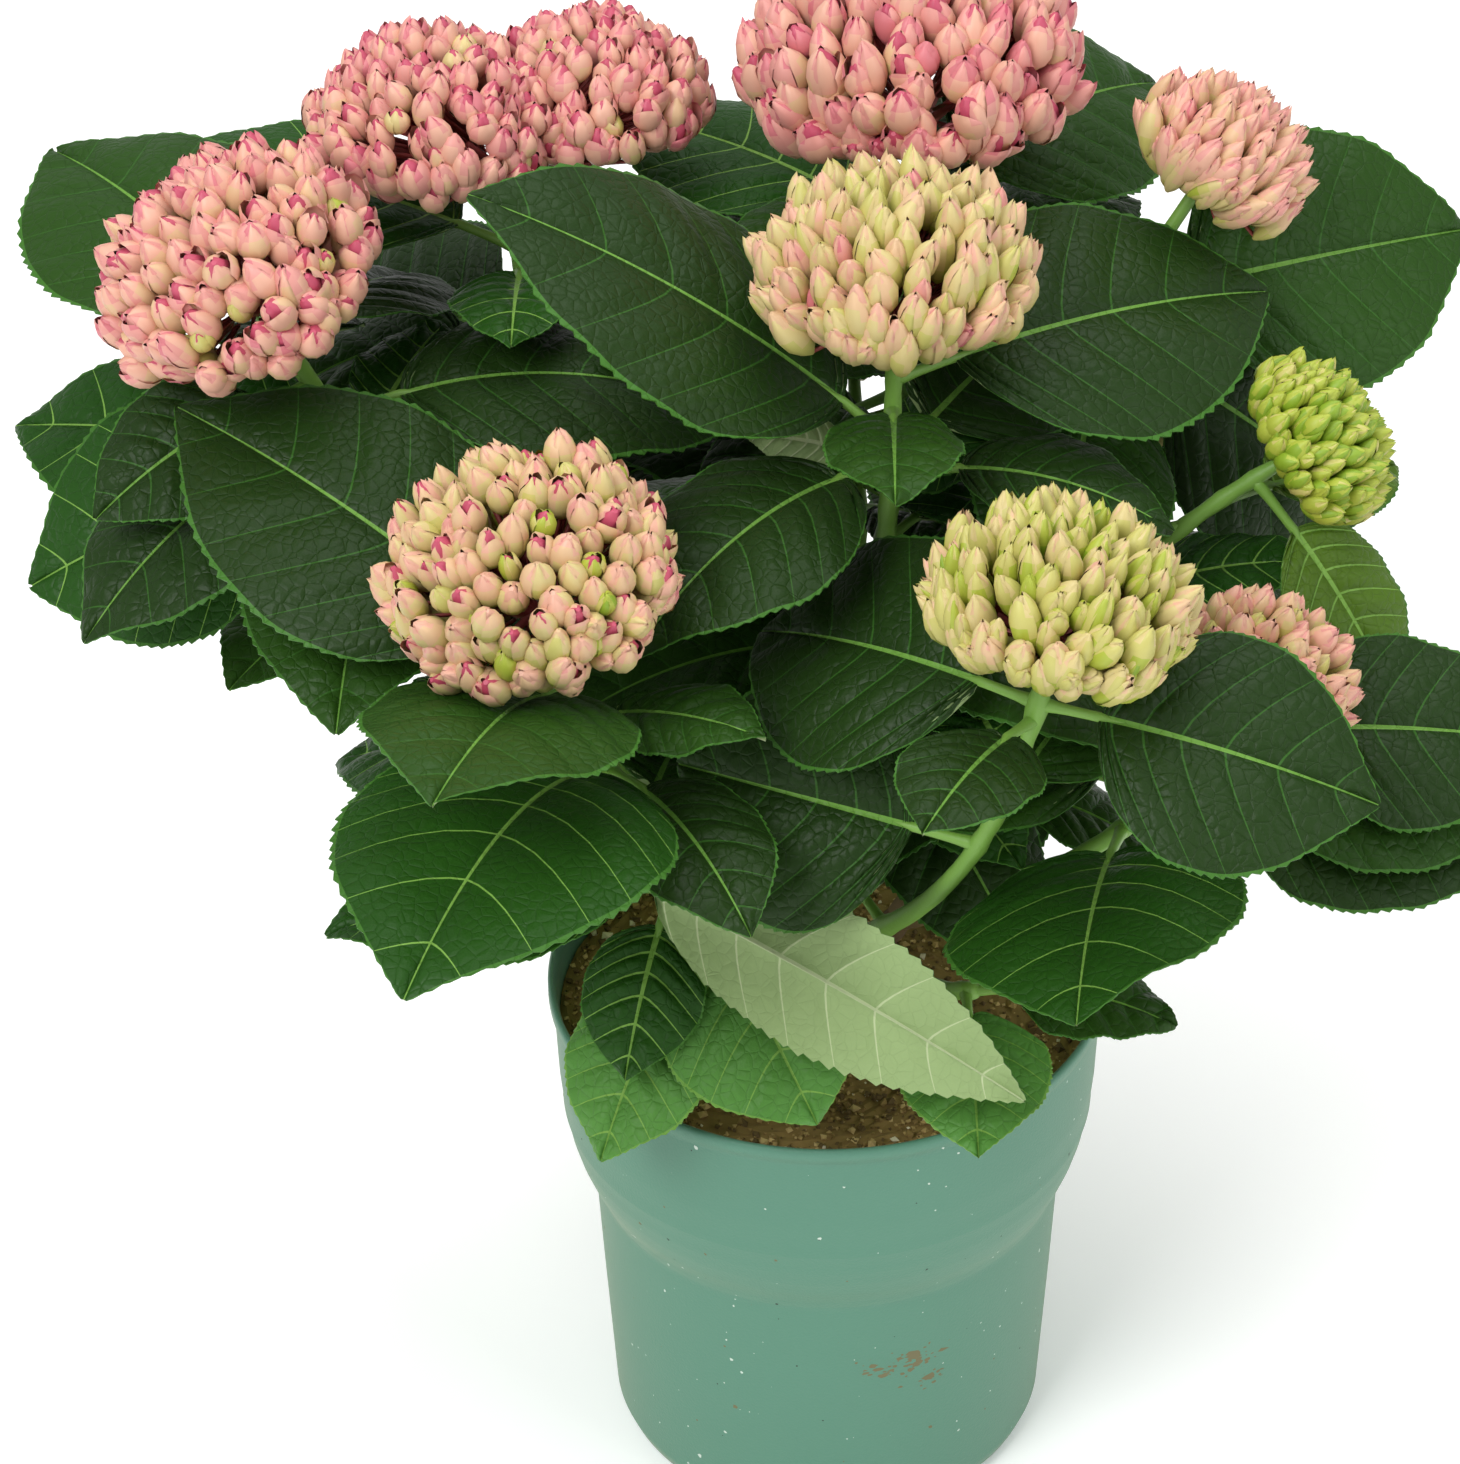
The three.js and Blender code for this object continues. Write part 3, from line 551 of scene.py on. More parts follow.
MIDRIB_HALF, MIDRIB_LEAST, MIDRIB_MOST = 1.1, 0.28, 0.4  # the last by half the blade's width
MIDRIB_TAPER = 1.3
MIDRIB_SUNK = 0.5
MIDRIB_RIDGE = (1.5, 0.25)  # under the blade, at its base beyond the tip's, and at the tip
MIDRIB_ROUND = np.array([0.15, 1, 0.15])
MARGIN_WAVES = ((1.5, 1.6), (0.8, 4.3))  # height and how many to a blade
BLADE_THICKNESS = 0.45
QUILTING = 1.8  # height of the swellings between the veins
QUILT_LOOSE = (0.75, 1.2)


def blade_rows():
    """A blade's rows from base to tip: margin station, side of a vein, quilting, tooth."""
    veins = LOWEST_VEIN + VEIN_SPREAD * (np.arange(VEINS) / (VEINS - 1))
    ends = np.concatenate([BLADE_ENDS[:1], veins, BLADE_ENDS[1:]])
    rows = [(ends[0], 0, 0, 0)]
    for k in range(VEINS + 1):
        teeth = TEETH[1] if k else TEETH[0]
        for j in range(1, 2 * teeth):
            x = (j // 2 + (0.0, TOOTH_TIP)[j % 2]) / teeth
            rows.append((ends[k] + (ends[k + 1] - ends[k]) * x, 0, math.sin(math.pi * x), j % 2))
        rows += [(ends[k + 1], side, 0, 0) for side in ((-1, 1) if k < VEINS else (0,))]
    return np.array(rows).T


ROWS = blade_rows()


def add_blade(piece, leaf, tone):
    """One blade in its own outline: its rows run along the side veins and swell between them."""
    end, side_of_vein, quilt, tooth = ROWS
    rows = len(end)
    length = leaf.length
    narrow = 1 - TIP_DRAWN * np.clip((end - TIP_FROM) / TIP_LENGTH, 0, 1) ** TIP_POWER
    half = leaf.half_width(end) * narrow
    # A row starts on the midrib and ends on the margin.
    start = np.maximum(VEIN_FROM * end, end - VEIN_SLANT * half / length)
    start = np.maximum.accumulate(start) + np.arange(rows) * 1e-5
    end = end + side_of_vein * VEIN_HALF[1] / length
    start = np.clip(start + side_of_vein * VEIN_HALF[0] / length, 0.0005, 0.999)
    midrib = MIDRIB_HALF * (1 - start) ** MIDRIB_TAPER + MIDRIB_LEAST
    midrib = np.minimum(midrib, MIDRIB_MOST * half)
    bite = TOOTH_SIZE * (length / FULL_LENGTH) * chance.uniform(*TOOTH_LOOSE, (2, rows))
    bite = bite * tooth * np.sin(math.pi * end) ** 0.4
    f = ACROSS
    sides = []
    for k, hand in enumerate((1, -1)):
        wave = sum(high * np.sin(2 * math.pi * (waves * end + chance.random()))
                   for high, waves in MARGIN_WAVES)
        u = start[:, None] + (end - start)[:, None] * f**VEIN_BEND
        v = midrib[:, None] + (half - midrib)[:, None] * f
        u[:, -1] += TOOTH_LEAN * bite[k] / length
        v[:, -1] += bite[k]
        puff = QUILTING * np.sin(math.pi * f**0.75)
        height = quilt[:, None] ** 0.7 * puff * chance.uniform(*QUILT_LOOSE, (rows, 1))
        height += wave[:, None] * f**2.4 - VEIN_SUNK * (side_of_vein != 0)[:, None] * (1 - f)
        sides.append((u * length, hand * v, height))
    (u1, v1, h1), (u0, v0, h0) = sides
    middle_u = np.repeat(start[:, None] * length, 3, 1)
    middle_v = midrib[:, None] * np.array([-1, 0, 1])
    middle_h = np.array([0, -MIDRIB_SUNK, 0]) * np.ones((rows, 1))
    u = np.hstack([u0[:, ::-1], middle_u, u1])
    v = np.hstack([v0[:, ::-1], middle_v, v1])
    top = np.hstack([h0[:, ::-1], middle_h, h1])
    ridge = np.zeros_like(top)
    n = len(f)
    ridge[:, n:n + 3] = (MIDRIB_RIDGE[0] * (1 - start) + MIDRIB_RIDGE[1])[:, None] * MIDRIB_ROUND
    ridge += VEIN_RIDGE * (side_of_vein != 0)[:, None]
    over, under = leaf.at(u, v, top), leaf.at(u, v, top - BLADE_THICKNESS - ridge)
    columns = 2 * n + 3
    faces = grid_faces(rows, columns)
    tones = np.full(faces.shape[:2], tone)
    below = np.full(faces.shape[:2], UNDER)
    in_vein = (side_of_vein[:-1] == -1) & (side_of_vein[1:] == 1)
    dark = tone in (DEEP, MID)
    margin = MIDRIB if tone == YOUNG else DARK_MARGIN
    tones[in_vein], below[in_vein] = DARK_VEIN if dark else PALE_VEIN, UNDER_VEIN
    tones[:, [0, -1]] = margin
    tones[:, n:n + 2], below[:, n:n + 2] = MIDRIB if dark else PALE_VEIN, UNDER_VEIN
    piece.add(over, (faces, tones))
    piece.add(under, (faces[..., ::-1], below))
    for column, flip in ((0, False), (columns - 1, True)):
        rim = np.stack([under[:, column], over[:, column]], 1)
        piece.add(rim, (grid_faces(rows, 2, flip=flip), margin))


STALK_RADII = [3.4, 2.9, 2.4, 2.2, 2.1, 2.05, 2.1, 1.7, 1.0]  # the last two under the blade
STALK_ON = np.array([0.04, 0.1])  # how far along the blade it runs on
STALK_UNDER = 1.6


def add_stalk(piece, leaf):
    """A leaf's stalk, thick where it clasps the stem, running on under the midrib."""
    t = np.linspace(0, 1, len(STALK_RADII) - len(STALK_ON))[:, None]
    path = leaf.node + (leaf.base - leaf.node) * t
    under = leaf.at(STALK_ON * leaf.length, np.zeros(len(STALK_ON)), -STALK_UNDER)
    tube(piece, np.vstack([path, under]), STALK_RADII, 8, 0)


# Leaves whose tone is known: shoot, drop and compass angle before it looked for room.
KNOWN_TONES = {
    ("front_left", 95, -112): BRIGHT, ("low_front", 68, -62): YOUNG, ("low_front", 80, -122): YOUNG,
    ("low_front", 50, -108): BRIGHT, ("right_low", 94, -102): BRIGHT, ("low_right", 6, -88): YOUNG,
    ("low_right", 6, -34): MID, ("right", 14, -30): OLIVE, ("right", 30, 18): OLIVE,
    ("left", 80, -168): BRIGHT, ("left", 98, 170): BRIGHT, ("back_left", 26, 164): BRIGHT,
    ("back", 44, 142): BRIGHT, ("back_right", 56, 18): MID, ("front_left", 32, 149): DEEP,
    ("front_right", 22, -16): DEEP, ("front_right", 22, 146): DEEP, ("middle", 52, 157): DEEP,
    ("middle", 24, 34): DEEP, ("left", 20, 130): MID, ("front_left", 95, -60): DEEP,
}
# The other leaves: tone, the share of leaves that have it, and the tone of the rest.
LOW_TONES = (BRIGHT, 0.6, YOUNG)
YOUNG_TONES = (MID, 0.5, BRIGHT)
GROWN_TONES = (DEEP, 0.6, MID)


def leaf_tone(leaf, place):
    """Grown upper leaves are dark; the low ones and the young ones are brighter."""
    known = KNOWN_TONES.get((leaf.shoot, leaf.drop, leaf.wanted))
    if known is not None:
        return known
    low = leaf.shoot.startswith("low_")
    most, share, rest = LOW_TONES if low else YOUNG_TONES if leaf.wanted is None else GROWN_TONES
    return most if place < share else rest


# ---- stems ----
GREEN, OLIVE_BARK, BROWN = range(3)
LESS = 0.3  # the looks' stems and canes are this much thinner than the source's
NODE_SWELL, NODE_LENGTH = 0.8, 6
BROWN_TO, OLIVE_TO = 28, 56  # a stem is brown at its foot, then olive, then green


def add_stem(piece, stem, drops):
    """A stem, thicker at its nodes; `drops` are their places below its tip."""
    x = np.linspace(0, stem.length, int(stem.length / 5) + 2)
    radii = np.interp(x / stem.length, [0, 1], STEM_RADIUS) - LESS
    for drop in drops:
        radii += NODE_SWELL * np.exp(-(((x - stem.length + drop) / NODE_LENGTH) ** 2))
    tones = np.where(x < BROWN_TO, BROWN, np.where(x < OLIVE_TO, OLIVE_BARK, GREEN))
    tube(piece, stem.at(x), radii, 12, tones, 0.06)


# ---- flower heads ----
# From green buds through cream to pink, then the deep pink of a bud's hollow, partly its own pink
# and partly painted shade, and two stalks.
BUD_TONES = ["809d25", "a1ad3b", "bbb566", "c8b77d", "d0ad86", "d6a38d", "d29087", "c87279",
             "b74861", "a04947", "8c9149"]
PINKEST, SHADED_HOLLOW, RAY, GREEN_RAY = 7, 8, 9, 10
# Head: bud radius, bud length, tones at the foot and at the tip of a bud, spread of both, how far
# the buds are open, share of odd buds and their tone, stalks.
BLOOMS = {
    "middle": (6.3, 27, 1.2, 3.5, 1.0, (0.0, 0.4), 0.06, 6, RAY),
    "front_left": (6.4, 22, 1.7, 4.3, 1.0, (0.0, 0.75), 0.12, 1.3, RAY),
    "front_right": (5.7, 26, 0.7, 2.6, 1.0, (0.0, 0.4), 0.2, 1.2, RAY),
    "left": (7.0, 22, 3.4, 5.6, 0.9, (0.05, 0.9), 0.08, 2, RAY),
    "back_left": (6.1, 18, 4.2, 5.8, 0.9, (0.4, 1.0), 0.06, 3, RAY),
    "back": (7.5, 26, 4.0, 6.0, 1.0, (0.05, 0.95), 0.12, 7, RAY),
    "back_right": (5.2, 25, 2.6, 5.2, 0.9, (0.0, 0.4), 0.08, 6, RAY),
    "right": (4.1, 16, 0.2, 0.7, 0.6, (0.0, 0.05), 0.0, 1, GREEN_RAY),
    "right_low": (5.2, 19, 3.0, 4.8, 0.8, (0.0, 0.4), 0.14, 2, RAY),
    "rear_left": (6.0, 20, 3.2, 5.4, 0.9, (0.0, 0.7), 0.1, 6, RAY),
    "rear": (6.3, 22, 3.4, 5.6, 0.9, (0.05, 0.8), 0.1, 2, RAY),
    "rear_right": (6.0, 22, 2.0, 4.6, 1.0, (0.0, 0.4), 0.2, 1.3, RAY),
}
GREEN_MIDDLES = ("front_right", "middle")  # greener in the middle, pinker round the edge
FOOT_SHIFT, TIP_SHIFT = (1.6, 1.0), (1.2, 0.8)  # of their tones, from the middle to the edge
BUD_SPACING = 1.9  # from bud to bud, by their radius
DOME_SKIN = 1.4 * 0.86  # a dome's skin by that of half a ball of its radius
SIX_SIDED = 0.866  # closest packing, by its spacing squared
LOWEST_BUD = 1.42  # down from a dome's top, by its radius
BUD_DEPTH, ODD_DEPTH = (0.88, 1.05), 0.94
BUD_LONG, BUD_WIDE, ODD_SIZE = (0.85, 1.12), (0.82, 1.1), 0.78
BUD_RISE = ([-0.42, 0.3], [0.45, 1.7])  # low buds spread like a crown, upper ones stand up
BUD_LEAN = 0.13
LOBE_ROOM = 0.8  # a bud this far inside the other lobe is left out
GOLDEN = math.pi * (3 - math.sqrt(5))
BUD_ROWS = np.array([0.0, 0.14, 0.34, 0.56, 0.76, 0.91, 1.0])
BUD_SHUT = np.array([0.22, 0.68, 0.97, 1.0, 0.79, 0.46, 0.1])
BUD_OPEN = np.array([0.22, 0.7, 1.0, 1.1, 1.1, 1.04, 0.96])
BUD_CORE = ((0.34, 0.8), (0.66, 0.76), (0.84, 0.5), (0.95, 0.16))  # its rings: height, radius
CORE_SIDES = 5
OPEN_FROM = 0.5  # a bud more open than this shows its hollow, a deep pink with painted shade
SEPAL_REACH = np.array([0.9, 1.0, 1.0, 1.0, 1.0, 1.0, 0.95])
SEPAL_ACROSS = np.linspace(-1, 1, 5)
SEPAL_HALF = (rad(64), rad(50), rad(58), rad(50))
SEPAL_WRAP = (1.06, 0.97, 1.0, 0.95)
SEPAL_PARTS = (1.0, 0.35, 0.0, 0.3)  # how much of a bud's opening each sepal takes
BLUSH = 0.9 * np.array([1, 0, 0, 1])  # a sepal's margins are pinker
POINTED = (0.85, 1.35)  # from blunt buds to pointed ones
RAY_JOINT, RAY_RADII = 0.45, [1.1, 1.0]  # the joint's way from the head's foot to the bud's
BRANCHES, BRANCH_REACH = 7, 0.5
BRANCH_RADII = [2.6, 2.0, 1.4]


def add_bud(piece, tip, axis, radius, length, foot_tone, tip_tone, opened):
    """Four cupped sepals round a core: the first, outermost one parts most and shows the hollow,
    whose deep pink is darkened as painted shade.
    """
    east = unit(np.cross(axis, direction(chance.uniform(0, 360), 20)))
    north = np.cross(axis, east)
    t, a = BUD_ROWS, SEPAL_ACROSS
    base = tip - axis * length
    faces = grid_faces(len(t), len(a))
    middle = (t[:-1] + np.diff(t) / 2)[:, None]
    blush = BLUSH * middle
    point = chance.uniform(*POINTED)
    for k in range(len(SEPAL_HALF)):
        parted = np.clip(opened * SEPAL_PARTS[k] * chance.uniform(0.8, 1.2), 0, 1)
        profile = BUD_SHUT**point + parted * (BUD_OPEN - BUD_SHUT**point)
        angle = k * math.pi / 2 + chance.normal(0, 0.1) + a * SEPAL_REACH[:, None] * SEPAL_HALF[k]
        outward = east * np.cos(angle)[..., None] + north * np.sin(angle)[..., None]
        r = radius * SEPAL_WRAP[k] * profile[:, None] * (1 - 0.04 * a**2)
        high = chance.uniform(0.94, 1.06) - 0.12 * parted
        z = length * t[:, None] * (high - (0.15 + 0.1 * parted) * a**2 * t[:, None] ** 3)
        points = base + outward * r[..., None] + axis * z[..., None]
        tones = foot_tone + (tip_tone - foot_tone) * middle**1.3 + blush + chance.normal(0, 0.35)
        piece.add(points, (faces, np.clip(np.rint(tones), 0, PINKEST).astype(int)))
    ring = np.arange(CORE_SIDES) * 2 * math.pi / CORE_SIDES
    spokes = east * np.cos(ring)[:, None] + north * np.sin(ring)[:, None]
    points = np.stack([base + axis * length * z + spokes * radius * r for z, r in BUD_CORE])
    # an open bud's core takes the hollow's pink, partly its own colour and partly painted shade in
    # the opening
    deep = SHADED_HOLLOW if opened > OPEN_FROM else int(np.clip(tip_tone + 1, 0, PINKEST))
    piece.add(points, (grid_faces(len(BUD_CORE), CORE_SIDES, closed=True), deep))
    piece.add(points[-1], (np.arange(CORE_SIDES)[None], deep))


def upright_to(axis):
    """The matrix that turns +Z onto the axis by the shortest way, as the source does."""
    turn = np.cross([0, 0, 1], axis)
    sine, cosine = np.linalg.norm(turn), axis[2]
    k = turn / sine
    skew = np.array([[0, -k[2], k[1]], [k[2], 0, -k[0]], [-k[1], k[0], 0]])
    return np.eye(3) + sine * skew + (1 - cosine) * skew @ skew


def in_lobe(spot, lobe):
    x, y, size = lobe
    flat = math.hypot(spot[0] - x, spot[1] - y) / size
    return flat**2 + (spot[2] / (DOME_HEIGHT * size)) ** 2 < LOBE_ROOM


def add_head(piece, name, centre, axis, radius):
    """A domed head of one lobe or more: buds over the dome, each on its ray, and seven branches."""
    bud_radius, bud_length, foot_tone, tip_tone, spread, opened, odd, odd_tone, ray = BLOOMS[name]
    matrix = upright_to(axis)
    lobes = LOBES.get(name, ((0, 0, radius),))
    foot = centre - axis * HEAD_FOOT * radius
    for i, (x, y, size) in enumerate(lobes):
        others = [lobe for j, lobe in enumerate(lobes) if j != i]
        area = 2 * math.pi * size**2 * DOME_SKIN
        count = int(area / (SIX_SIDED * (BUD_SPACING * bud_radius) ** 2))
        for b in range(count):
            up = 1 - (b + 0.5) / count * LOWEST_BUD
            flat = math.sqrt(1 - up * up)
            spin = b * GOLDEN + chance.normal(0, 0.05)
            stretch = DOME_HEIGHT if up > 0 else DOME_DEPTH
            odd_one = chance.random() < odd
            reach = size * chance.uniform(*BUD_DEPTH) * (ODD_DEPTH if odd_one else 1)
            local = np.array([flat * math.cos(spin), flat * math.sin(spin), up * stretch]) * reach
            local += np.array([x, y, 0])
            if any(in_lobe(local, lobe) for lobe in others):
                continue
            tip = centre + matrix @ local
            rise = np.interp(up, *BUD_RISE)
            heading = unit(matrix @ (local - np.array([x, y, 0]) * 0.7 + [0, 0, rise * radius]))
            heading = unit(heading + chance.normal(0, BUD_LEAN, 3))
            grown = ODD_SIZE if odd_one else 1
            length = bud_length * chance.uniform(*BUD_LONG) * grown
            wide = bud_radius * chance.uniform(*BUD_WIDE) * grown
            tone_foot = foot_tone + chance.normal(0, spread / 2)
            tone_tip = tip_tone + chance.normal(0, spread / 2)
            if name in GREEN_MIDDLES:
                tone_foot += FOOT_SHIFT[0] * flat - FOOT_SHIFT[1]
                tone_tip += TIP_SHIFT[0] * flat - TIP_SHIFT[1]
            if odd_one:
                tone_foot = tone_tip = odd_tone + chance.normal(0, 0.3)
            openness = chance.uniform(*opened)
            add_bud(piece, tip, heading, wide, length, tone_foot, tone_tip, openness)
            heel = tip - heading * length
            joint = foot + (heel - foot) * RAY_JOINT + axis * 0.06 * radius
            tube(piece, [heel + heading, joint], RAY_RADII, 3, ray)
        for b in range(BRANCHES):
            spin = b * 2 * math.pi / BRANCHES + i
            spot = np.array([math.cos(spin), math.sin(spin), 0]) * BRANCH_REACH * size
            end = centre + matrix @ (spot + [x, y, -0.05 * size])
            bend = foot + (end - foot) * 0.5 + axis * 0.03 * radius
            tube(piece, [foot, bend, end], BRANCH_RADII, 6, ray)


# ---- pot and soil ----
# Rows of height and radius, from the middle of the pot's underside round to its floor's middle.
POT_UNDER = [(2.2, 0.5), (2.2, 64), (1.8, 66), (1.8, 83), (0.6, 84.5)]
RIM_LIP = [(POT_HEIGHT - 0.4, RIM_RADIUS - 2.4), (223, 112.9)]
POT_FLOOR = [(5, 89), (4, 86), (4, 0.5)]
INSIDE_FROM, INSIDE_TO = 4, 222
POT_SIDES = 160
SEAM_HEIGHT, SEAM_HALF, SEAM_PROUD = 168.0, 1.5, 0.35  # a faint seam runs round the pot
PLASTIC, LIME, BROWN_DIRT, DARK_SPOT = range(4)
SPECKS = 420
SPECK_SHARES = {LIME: 0.72, BROWN_DIRT: 0.16, DARK_SPOT: 0.12}
SPECK_FROM, SPECK_TO = 8, 222
FLAKE_RIM, FLAKE_DOME = 0.02, 0.09  # how far they stand off the wall
# Brown smears on the pot: compass angle, height, spread round (degrees) and up, spots.
SMEARS = [(-70, 91, 5.0, 4.0, 70), (-64, 78, 3.0, 3.0, 18), (35, 60, 8.0, 6.0, 40),
          (160, 120, 6.0, 9.0, 40)]


def revolved(rows, skin, sides):
    """Points of a body of revolution: heights from `rows`, and `skin` has each point's radius."""
    t = np.arange(sides) * 2 * math.pi / sides
    return np.stack([skin * np.cos(t), skin * np.sin(t), np.repeat(rows[:, :1], sides, 1)], -1)


def smooth_profile(rows, step):
    """Rows of height and radius with more of them between, straight from one to the next."""
    rows = np.array(rows, float)
    reached = np.concatenate([[0], np.cumsum(np.hypot(*np.diff(rows, axis=0).T))])
    x = np.union1d(np.arange(0, reached[-1], step), reached)
    return np.stack([np.interp(x, reached, rows[:, 0]), np.interp(x, reached, rows[:, 1])], -1)


def make_pot():
    """The pot's wall, one closed skin round its profile, with lime spots and dirt outside."""
    piece = Piece()
    outside = smooth_profile(POT_OUTSIDE, 4)
    seam = (outside[:, 0] - SEAM_HEIGHT) / SEAM_HALF
    outside[:, 1] += SEAM_PROUD * np.exp(-(seam**2))
    inside = [(z, r - WALL) for z, r in POT_OUTSIDE if INSIDE_FROM < z < INSIDE_TO]
    inside = smooth_profile(inside, 6)[::-1]
    profile = np.vstack([POT_UNDER, outside, RIM_LIP, inside, POT_FLOOR, POT_UNDER[:1]])
    faces = grid_faces(len(profile), POT_SIDES, closed=True)
    piece.add(revolved(profile, profile[:, 1:], POT_SIDES), (faces, PLASTIC))
    for _ in range(SPECKS):
        tone = chance.choice(list(SPECK_SHARES), p=list(SPECK_SHARES.values()))
        angle, height = chance.uniform(0, 360), chance.uniform(SPECK_FROM, SPECK_TO)
        add_speck(piece, outside, angle, height, chance.gamma(3, 0.14), 1, tone)
    for angle, height, across, high, count in SMEARS:
        for _ in range(count):
            x, z = chance.normal(0, 1, 2)
            add_speck(piece, outside, angle + across * x, height + high * z + 0.25 * across * x,
                      chance.gamma(3, 0.22), chance.uniform(1, 2.6), BROWN_DIRT)
    piece.make("pot_shell", POT, ["pot"])


def add_speck(piece, outside, angle, height, size, longer, tone):
    """A thin flake on the pot's wall, six-cornered and a little domed, `longer` round the pot."""
    spin = np.arange(6) * math.pi / 3 + chance.normal(0, 0.2, 6)
    reach = size * chance.uniform(0.6, 1.3, 6)
    z = np.append(height + reach * np.sin(spin), height)
    r = np.interp(z, outside[:, 0], outside[:, 1]) + np.array([FLAKE_RIM] * 6 + [FLAKE_DOME])
    turn = rad(angle) + np.append(longer * reach * np.cos(spin), 0) / r
    fan = np.stack([np.arange(6), (np.arange(6) + 1) % 6, np.full(6, 6)], -1)
    piece.add(np.stack([r * np.cos(turn), r * np.sin(turn), z], -1), (fan, tone))


BED_RADIUS, BED_RINGS, BED_SIDES = 112.2, 40, 96
BED_BELOW, BED_ROUGH, BED_SKIRT = 1.2, 0.5, 30
BED_TONE = 1
LUMPS = 5200
LUMPS_FROM, LUMPS_TO, LUMPS_END = 14, 111, 114  # radii; near the last, lumps are smaller
LUMP_SHARES = [0.3, 0.3, 0.23, 0.14, 0.03]  # of each tone, dark to pale
LUMP_CORNERS = np.array([(1, 0, 0), (0, 1, 0), (-1, 0, 0), (0, -1, 0), (0, 0, 1), (0, 0, -1)])
LUMP_FACES = np.array([(0, 1, 4), (1, 2, 4), (2, 3, 4), (3, 0, 4),
                       (1, 0, 5), (2, 1, 5), (3, 2, 5), (0, 3, 5)])


def soil_height(x, y):
    """The soil's top, high round the stock, lower at the wall and hollow on the left."""
    hollow = 0.014 * np.maximum(-x - 60, 0) ** 1.2
    r = np.hypot(x, y)
    dome = np.interp(r, [0, 34, 70, 104, 112], [1.5, 1.5, 0, -1, -3])
    return SOIL_TOP + dome + 1.6 * np.sin(x / 17) * np.cos(y / 21) - hollow


def make_soil():
    """A rough bed with loose lumps strewn over it."""
    piece = Piece()
    rings = np.linspace(1, BED_RADIUS, BED_RINGS)
    t = np.arange(BED_SIDES) * 2 * math.pi / BED_SIDES
    x, y = rings[:, None] * np.cos(t), rings[:, None] * np.sin(t)
    z = soil_height(x, y) - BED_BELOW + chance.normal(0, BED_ROUGH, x.shape)
    skirt = np.stack([x[-1], y[-1], np.full(BED_SIDES, SOIL_TOP - BED_SKIRT)], -1) * [0.98, 0.98, 1]
    bed = np.vstack([np.stack([x, y, z], -1), skirt[None]])
    piece.add(bed, (grid_faces(len(bed), BED_SIDES, closed=True, flip=True), BED_TONE))
    for _ in range(LUMPS):
        r, spin = LUMPS_TO * math.sqrt(chance.random()), chance.uniform(0, 2 * math.pi)
        if r < LUMPS_FROM:
            continue
        size = min(chance.gamma(4, 0.32), LUMPS_END - r)
        x, y = r * math.cos(spin), r * math.sin(spin)
        middle = np.array([x, y, soil_height(x, y) - 0.9 + 0.4 * size])
        lump = LUMP_CORNERS @ np.linalg.qr(chance.normal(size=(3, 3)))[0]
        lump = lump * size * chance.uniform(0.5, 1.1, (6, 1)) * [1, 1, 0.8]
        tone = chance.choice(len(LUMP_SHARES), p=LUMP_SHARES)
        piece.add(middle + lump, (LUMP_FACES, tone))
    piece.make("potting_soil", SOIL, ["soil"], smooth=False)


STOCK_PROFILE = [(STOCK_FOOT, 4), (SOIL_TOP - 2, 24), (SOIL_TOP + 4, 19.5), (228, 15.5), (236, 14),
                 (242, 8)]
STOCK_SIDES = 28
CANE_SUNK = 6  # into the stock


def make_woody():
    """The ridged stock and the four canes in it, of bark in patches of two tones."""
    piece = Piece()
    rows = smooth_profile(STOCK_PROFILE, 3)
    t = np.arange(STOCK_SIDES) * 2 * math.pi / STOCK_SIDES
    ridges = 1 + 0.06 * np.sin(5 * t) + 0.03 * np.sin(11 * t + 1)
    skin = rows[:, 1:] * ridges + chance.normal(0, 0.25, (len(rows), STOCK_SIDES))
    top = np.arange(STOCK_SIDES)[None] + (len(rows) - 1) * STOCK_SIDES
    piece.add(revolved(rows, skin, STOCK_SIDES),
              (grid_faces(len(rows), STOCK_SIDES, closed=True), 0), (top, 0))
    for a, b in CANES.values():
        a, b = np.array(a, float), np.array(b, float)
        axis = unit(b - a)
        x = np.linspace(-CANE_SUNK, np.linalg.norm(b - a), 16)
        radii = np.interp(x, [x[0], x[-1]], CANE_RADIUS) - LESS
        tube(piece, a + axis * x[:, None], radii, 16, chance.integers(0, len(BARK), len(x)), 0.22)
    piece.make("woody_canes", BARK, ["stock"] + [f"cane_{n}" for n in CANES])


# ---- the pieces ----
SOIL_TONES = ["685432", "927846", "b79b63", "d0b57b", "e6dcc0"]
POT = [
    material("sage_plastic", "51826d", 0.5, 0.0002, 900, Specular_IOR_Level=0.4, Sheen_Weight=0.2,
             Sheen_Tint=linear("c9b184"), Sheen_Roughness=0.4),
    material("lime_spot", "c4d2c6", 0.8),
    material("brown_dirt", "6f6a4c", 0.9),
    material("dark_spot", "2f3a30", 0.8),
]
SOIL = [material(f"soil_{i}", c, 0.95) for i, c in enumerate(SOIL_TONES)]
BARK = [
    material("bark_brown", "6f5a3d", 0.85, 0.0006, 250),
    material("bark_grey", "85704f", 0.85, 0.0006, 250),
]
STEMS = [
    material("stem_green", "6f9a3e", 0.5, 0.0002, 500),
    material("stem_olive", "7d8a45", 0.6, 0.0003, 400),
    material("stem_brown", "7c6a45", 0.75, 0.0004, 300),
]
LEAF = [
    material(f"leaf_{i}", c, *((0.43, 0.00045) if i < UNDER else (0.65, 0.0003)), 330, 190,
             Specular_IOR_Level=0.16)
    for i, c in enumerate(LEAF_TONES)
]
BUDS = [material(f"bud_{i}", c, 0.5) for i, c in enumerate(BUD_TONES)]

stems, heads, leaves = grow()
make_pot()
make_soil()
make_woody()

green = Piece()
for name, stem in stems.items():
    add_stem(green, stem, [leaf.drop for leaf in leaves if leaf.shoot == name])
for leaf in leaves:
    add_stalk(green, leaf)
green.make("green_stems", STEMS, [f"stem_{name}" for name in stems])

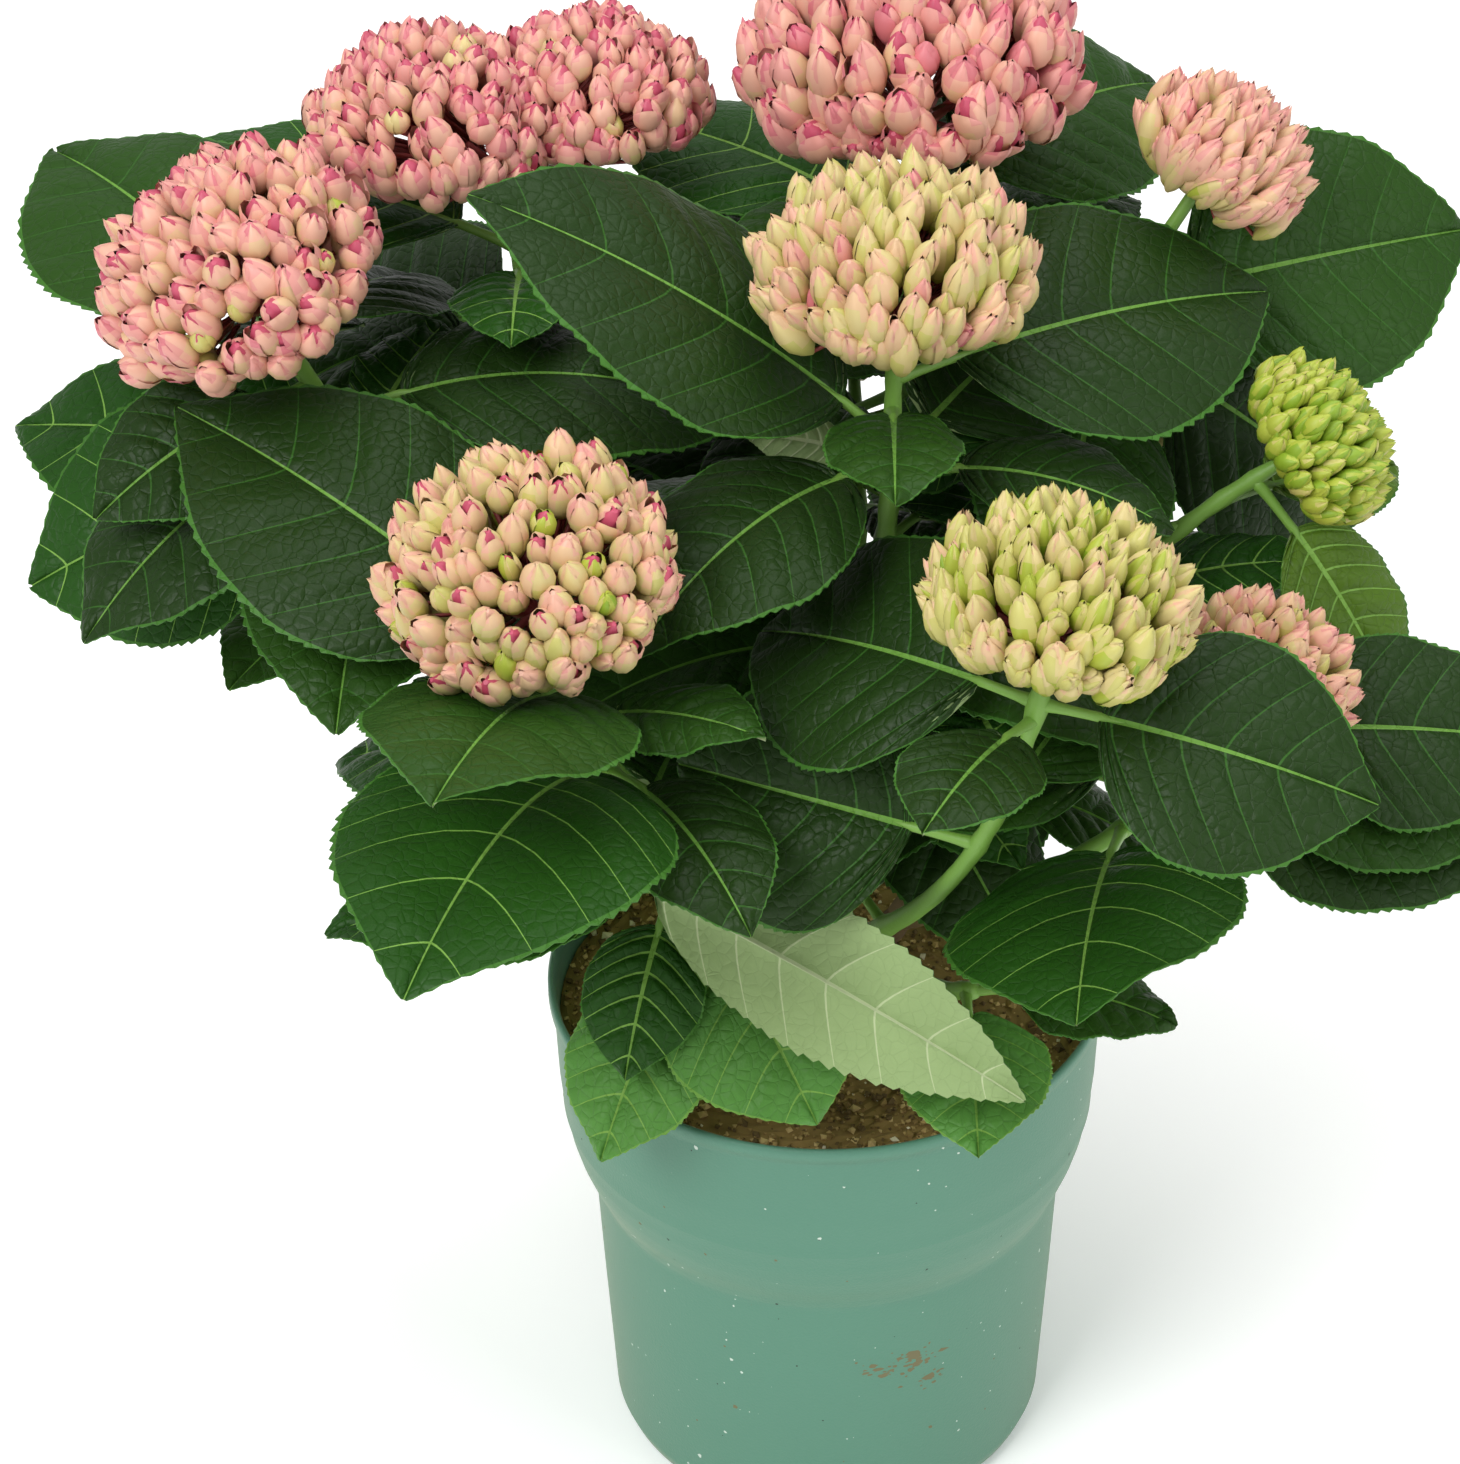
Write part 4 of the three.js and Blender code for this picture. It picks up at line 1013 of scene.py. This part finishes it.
LEAF_GROUPS = {
    "foliage_front": ["low_front", "front_left", "front_right", "right_low", "low_right"],
    "foliage_left": ["left", "back_left", "low_left"],
    "foliage_middle": ["middle", "rear_left", "low_back"],
    "foliage_back": ["back", "rear"],
    "foliage_right": ["back_right", "right", "rear_right"],
}
for group, members in LEAF_GROUPS.items():
    piece = Piece()
    for leaf in leaves:
        if leaf.shoot in members:
            add_blade(piece, leaf, leaf_tone(leaf, chance.random()))
    piece.make(group, LEAF, [f"leaves_{name}" for name in members])

HEAD_GROUPS = {
    "blossom_front": ["middle", "front_left", "front_right"],
    "blossom_right": ["right_low", "right", "back_right"],
    "blossom_left": ["left", "back_left"],
    "blossom_back": ["back", "rear_left", "rear", "rear_right"],
}
for group, members in HEAD_GROUPS.items():
    piece = Piece()
    for name in members:
        add_head(piece, name, *heads[name])
    piece.make(group, BUDS, [f"flower_head_{name}" for name in members])


# ---- floor, light and camera ----
FLOOR_HALF = 8.0  # metres, as for the lights and the camera


def make_floor():
    mesh = bpy.data.meshes.new("floor")
    corners = [(x * FLOOR_HALF, y * FLOOR_HALF, 0) for x, y in ((-1, -1), (1, -1), (1, 1), (-1, 1))]
    mesh.from_pydata(corners, [], [(0, 1, 2, 3)])
    mesh.materials.append(material("pale_floor", "ffffff", 0.9, Emission_Color=(1, 1, 1, 1),
                                   Emission_Strength=0.12))
    floor = bpy.data.objects.new("floor", mesh)
    bpy.context.scene.collection.objects.link(floor)


def area_light(name, place, target, size, power):
    """A square lamp at `place` that shines at `target`."""
    light = bpy.data.lights.new(name, "AREA")
    light.size, light.energy = size, power
    lamp = bpy.data.objects.new(name, light)
    lamp.location = place
    aim = np.array(target) - np.array(place)
    tilt = math.acos(-aim[2] / np.linalg.norm(aim))
    lamp.rotation_euler = (tilt, 0, math.atan2(aim[0], -aim[1]) + math.pi)
    bpy.context.scene.collection.objects.link(lamp)


def make_camera():
    """2.5 m from the rim's centre, looking down 36.7 degrees, from the front."""
    camera = bpy.data.cameras.new("camera")
    camera.sensor_width, camera.lens = 36, 146.6
    camera.shift_x = -0.0663
    camera.clip_end = 50
    eye = bpy.data.objects.new("camera", camera)
    eye.location = (0, -1.9429, 1.8033)
    eye.rotation_euler = (rad(90 - 36.72), 0, 0)
    bpy.context.scene.collection.objects.link(eye)
    bpy.context.scene.camera = eye


make_floor()
area_light("key", (-1.4, -1.9, 2.8), (0, 0, 0.35), 1.6, 80)
area_light("fill", (2.2, -1.4, 1.8), (0, 0, 0.35), 1.6, 22)
area_light("top", (0.3, 0.6, 3.2), (0, 0, 0.4), 2.2, 45)
world = bpy.data.worlds.new("studio")
world.use_nodes = True
world.node_tree.nodes["Background"].inputs["Color"].default_value = (1, 1, 1, 1)
world.node_tree.nodes["Background"].inputs["Strength"].default_value = 0.5
bpy.context.scene.world = world
bpy.context.scene.view_settings.view_transform = "Standard"
make_camera()
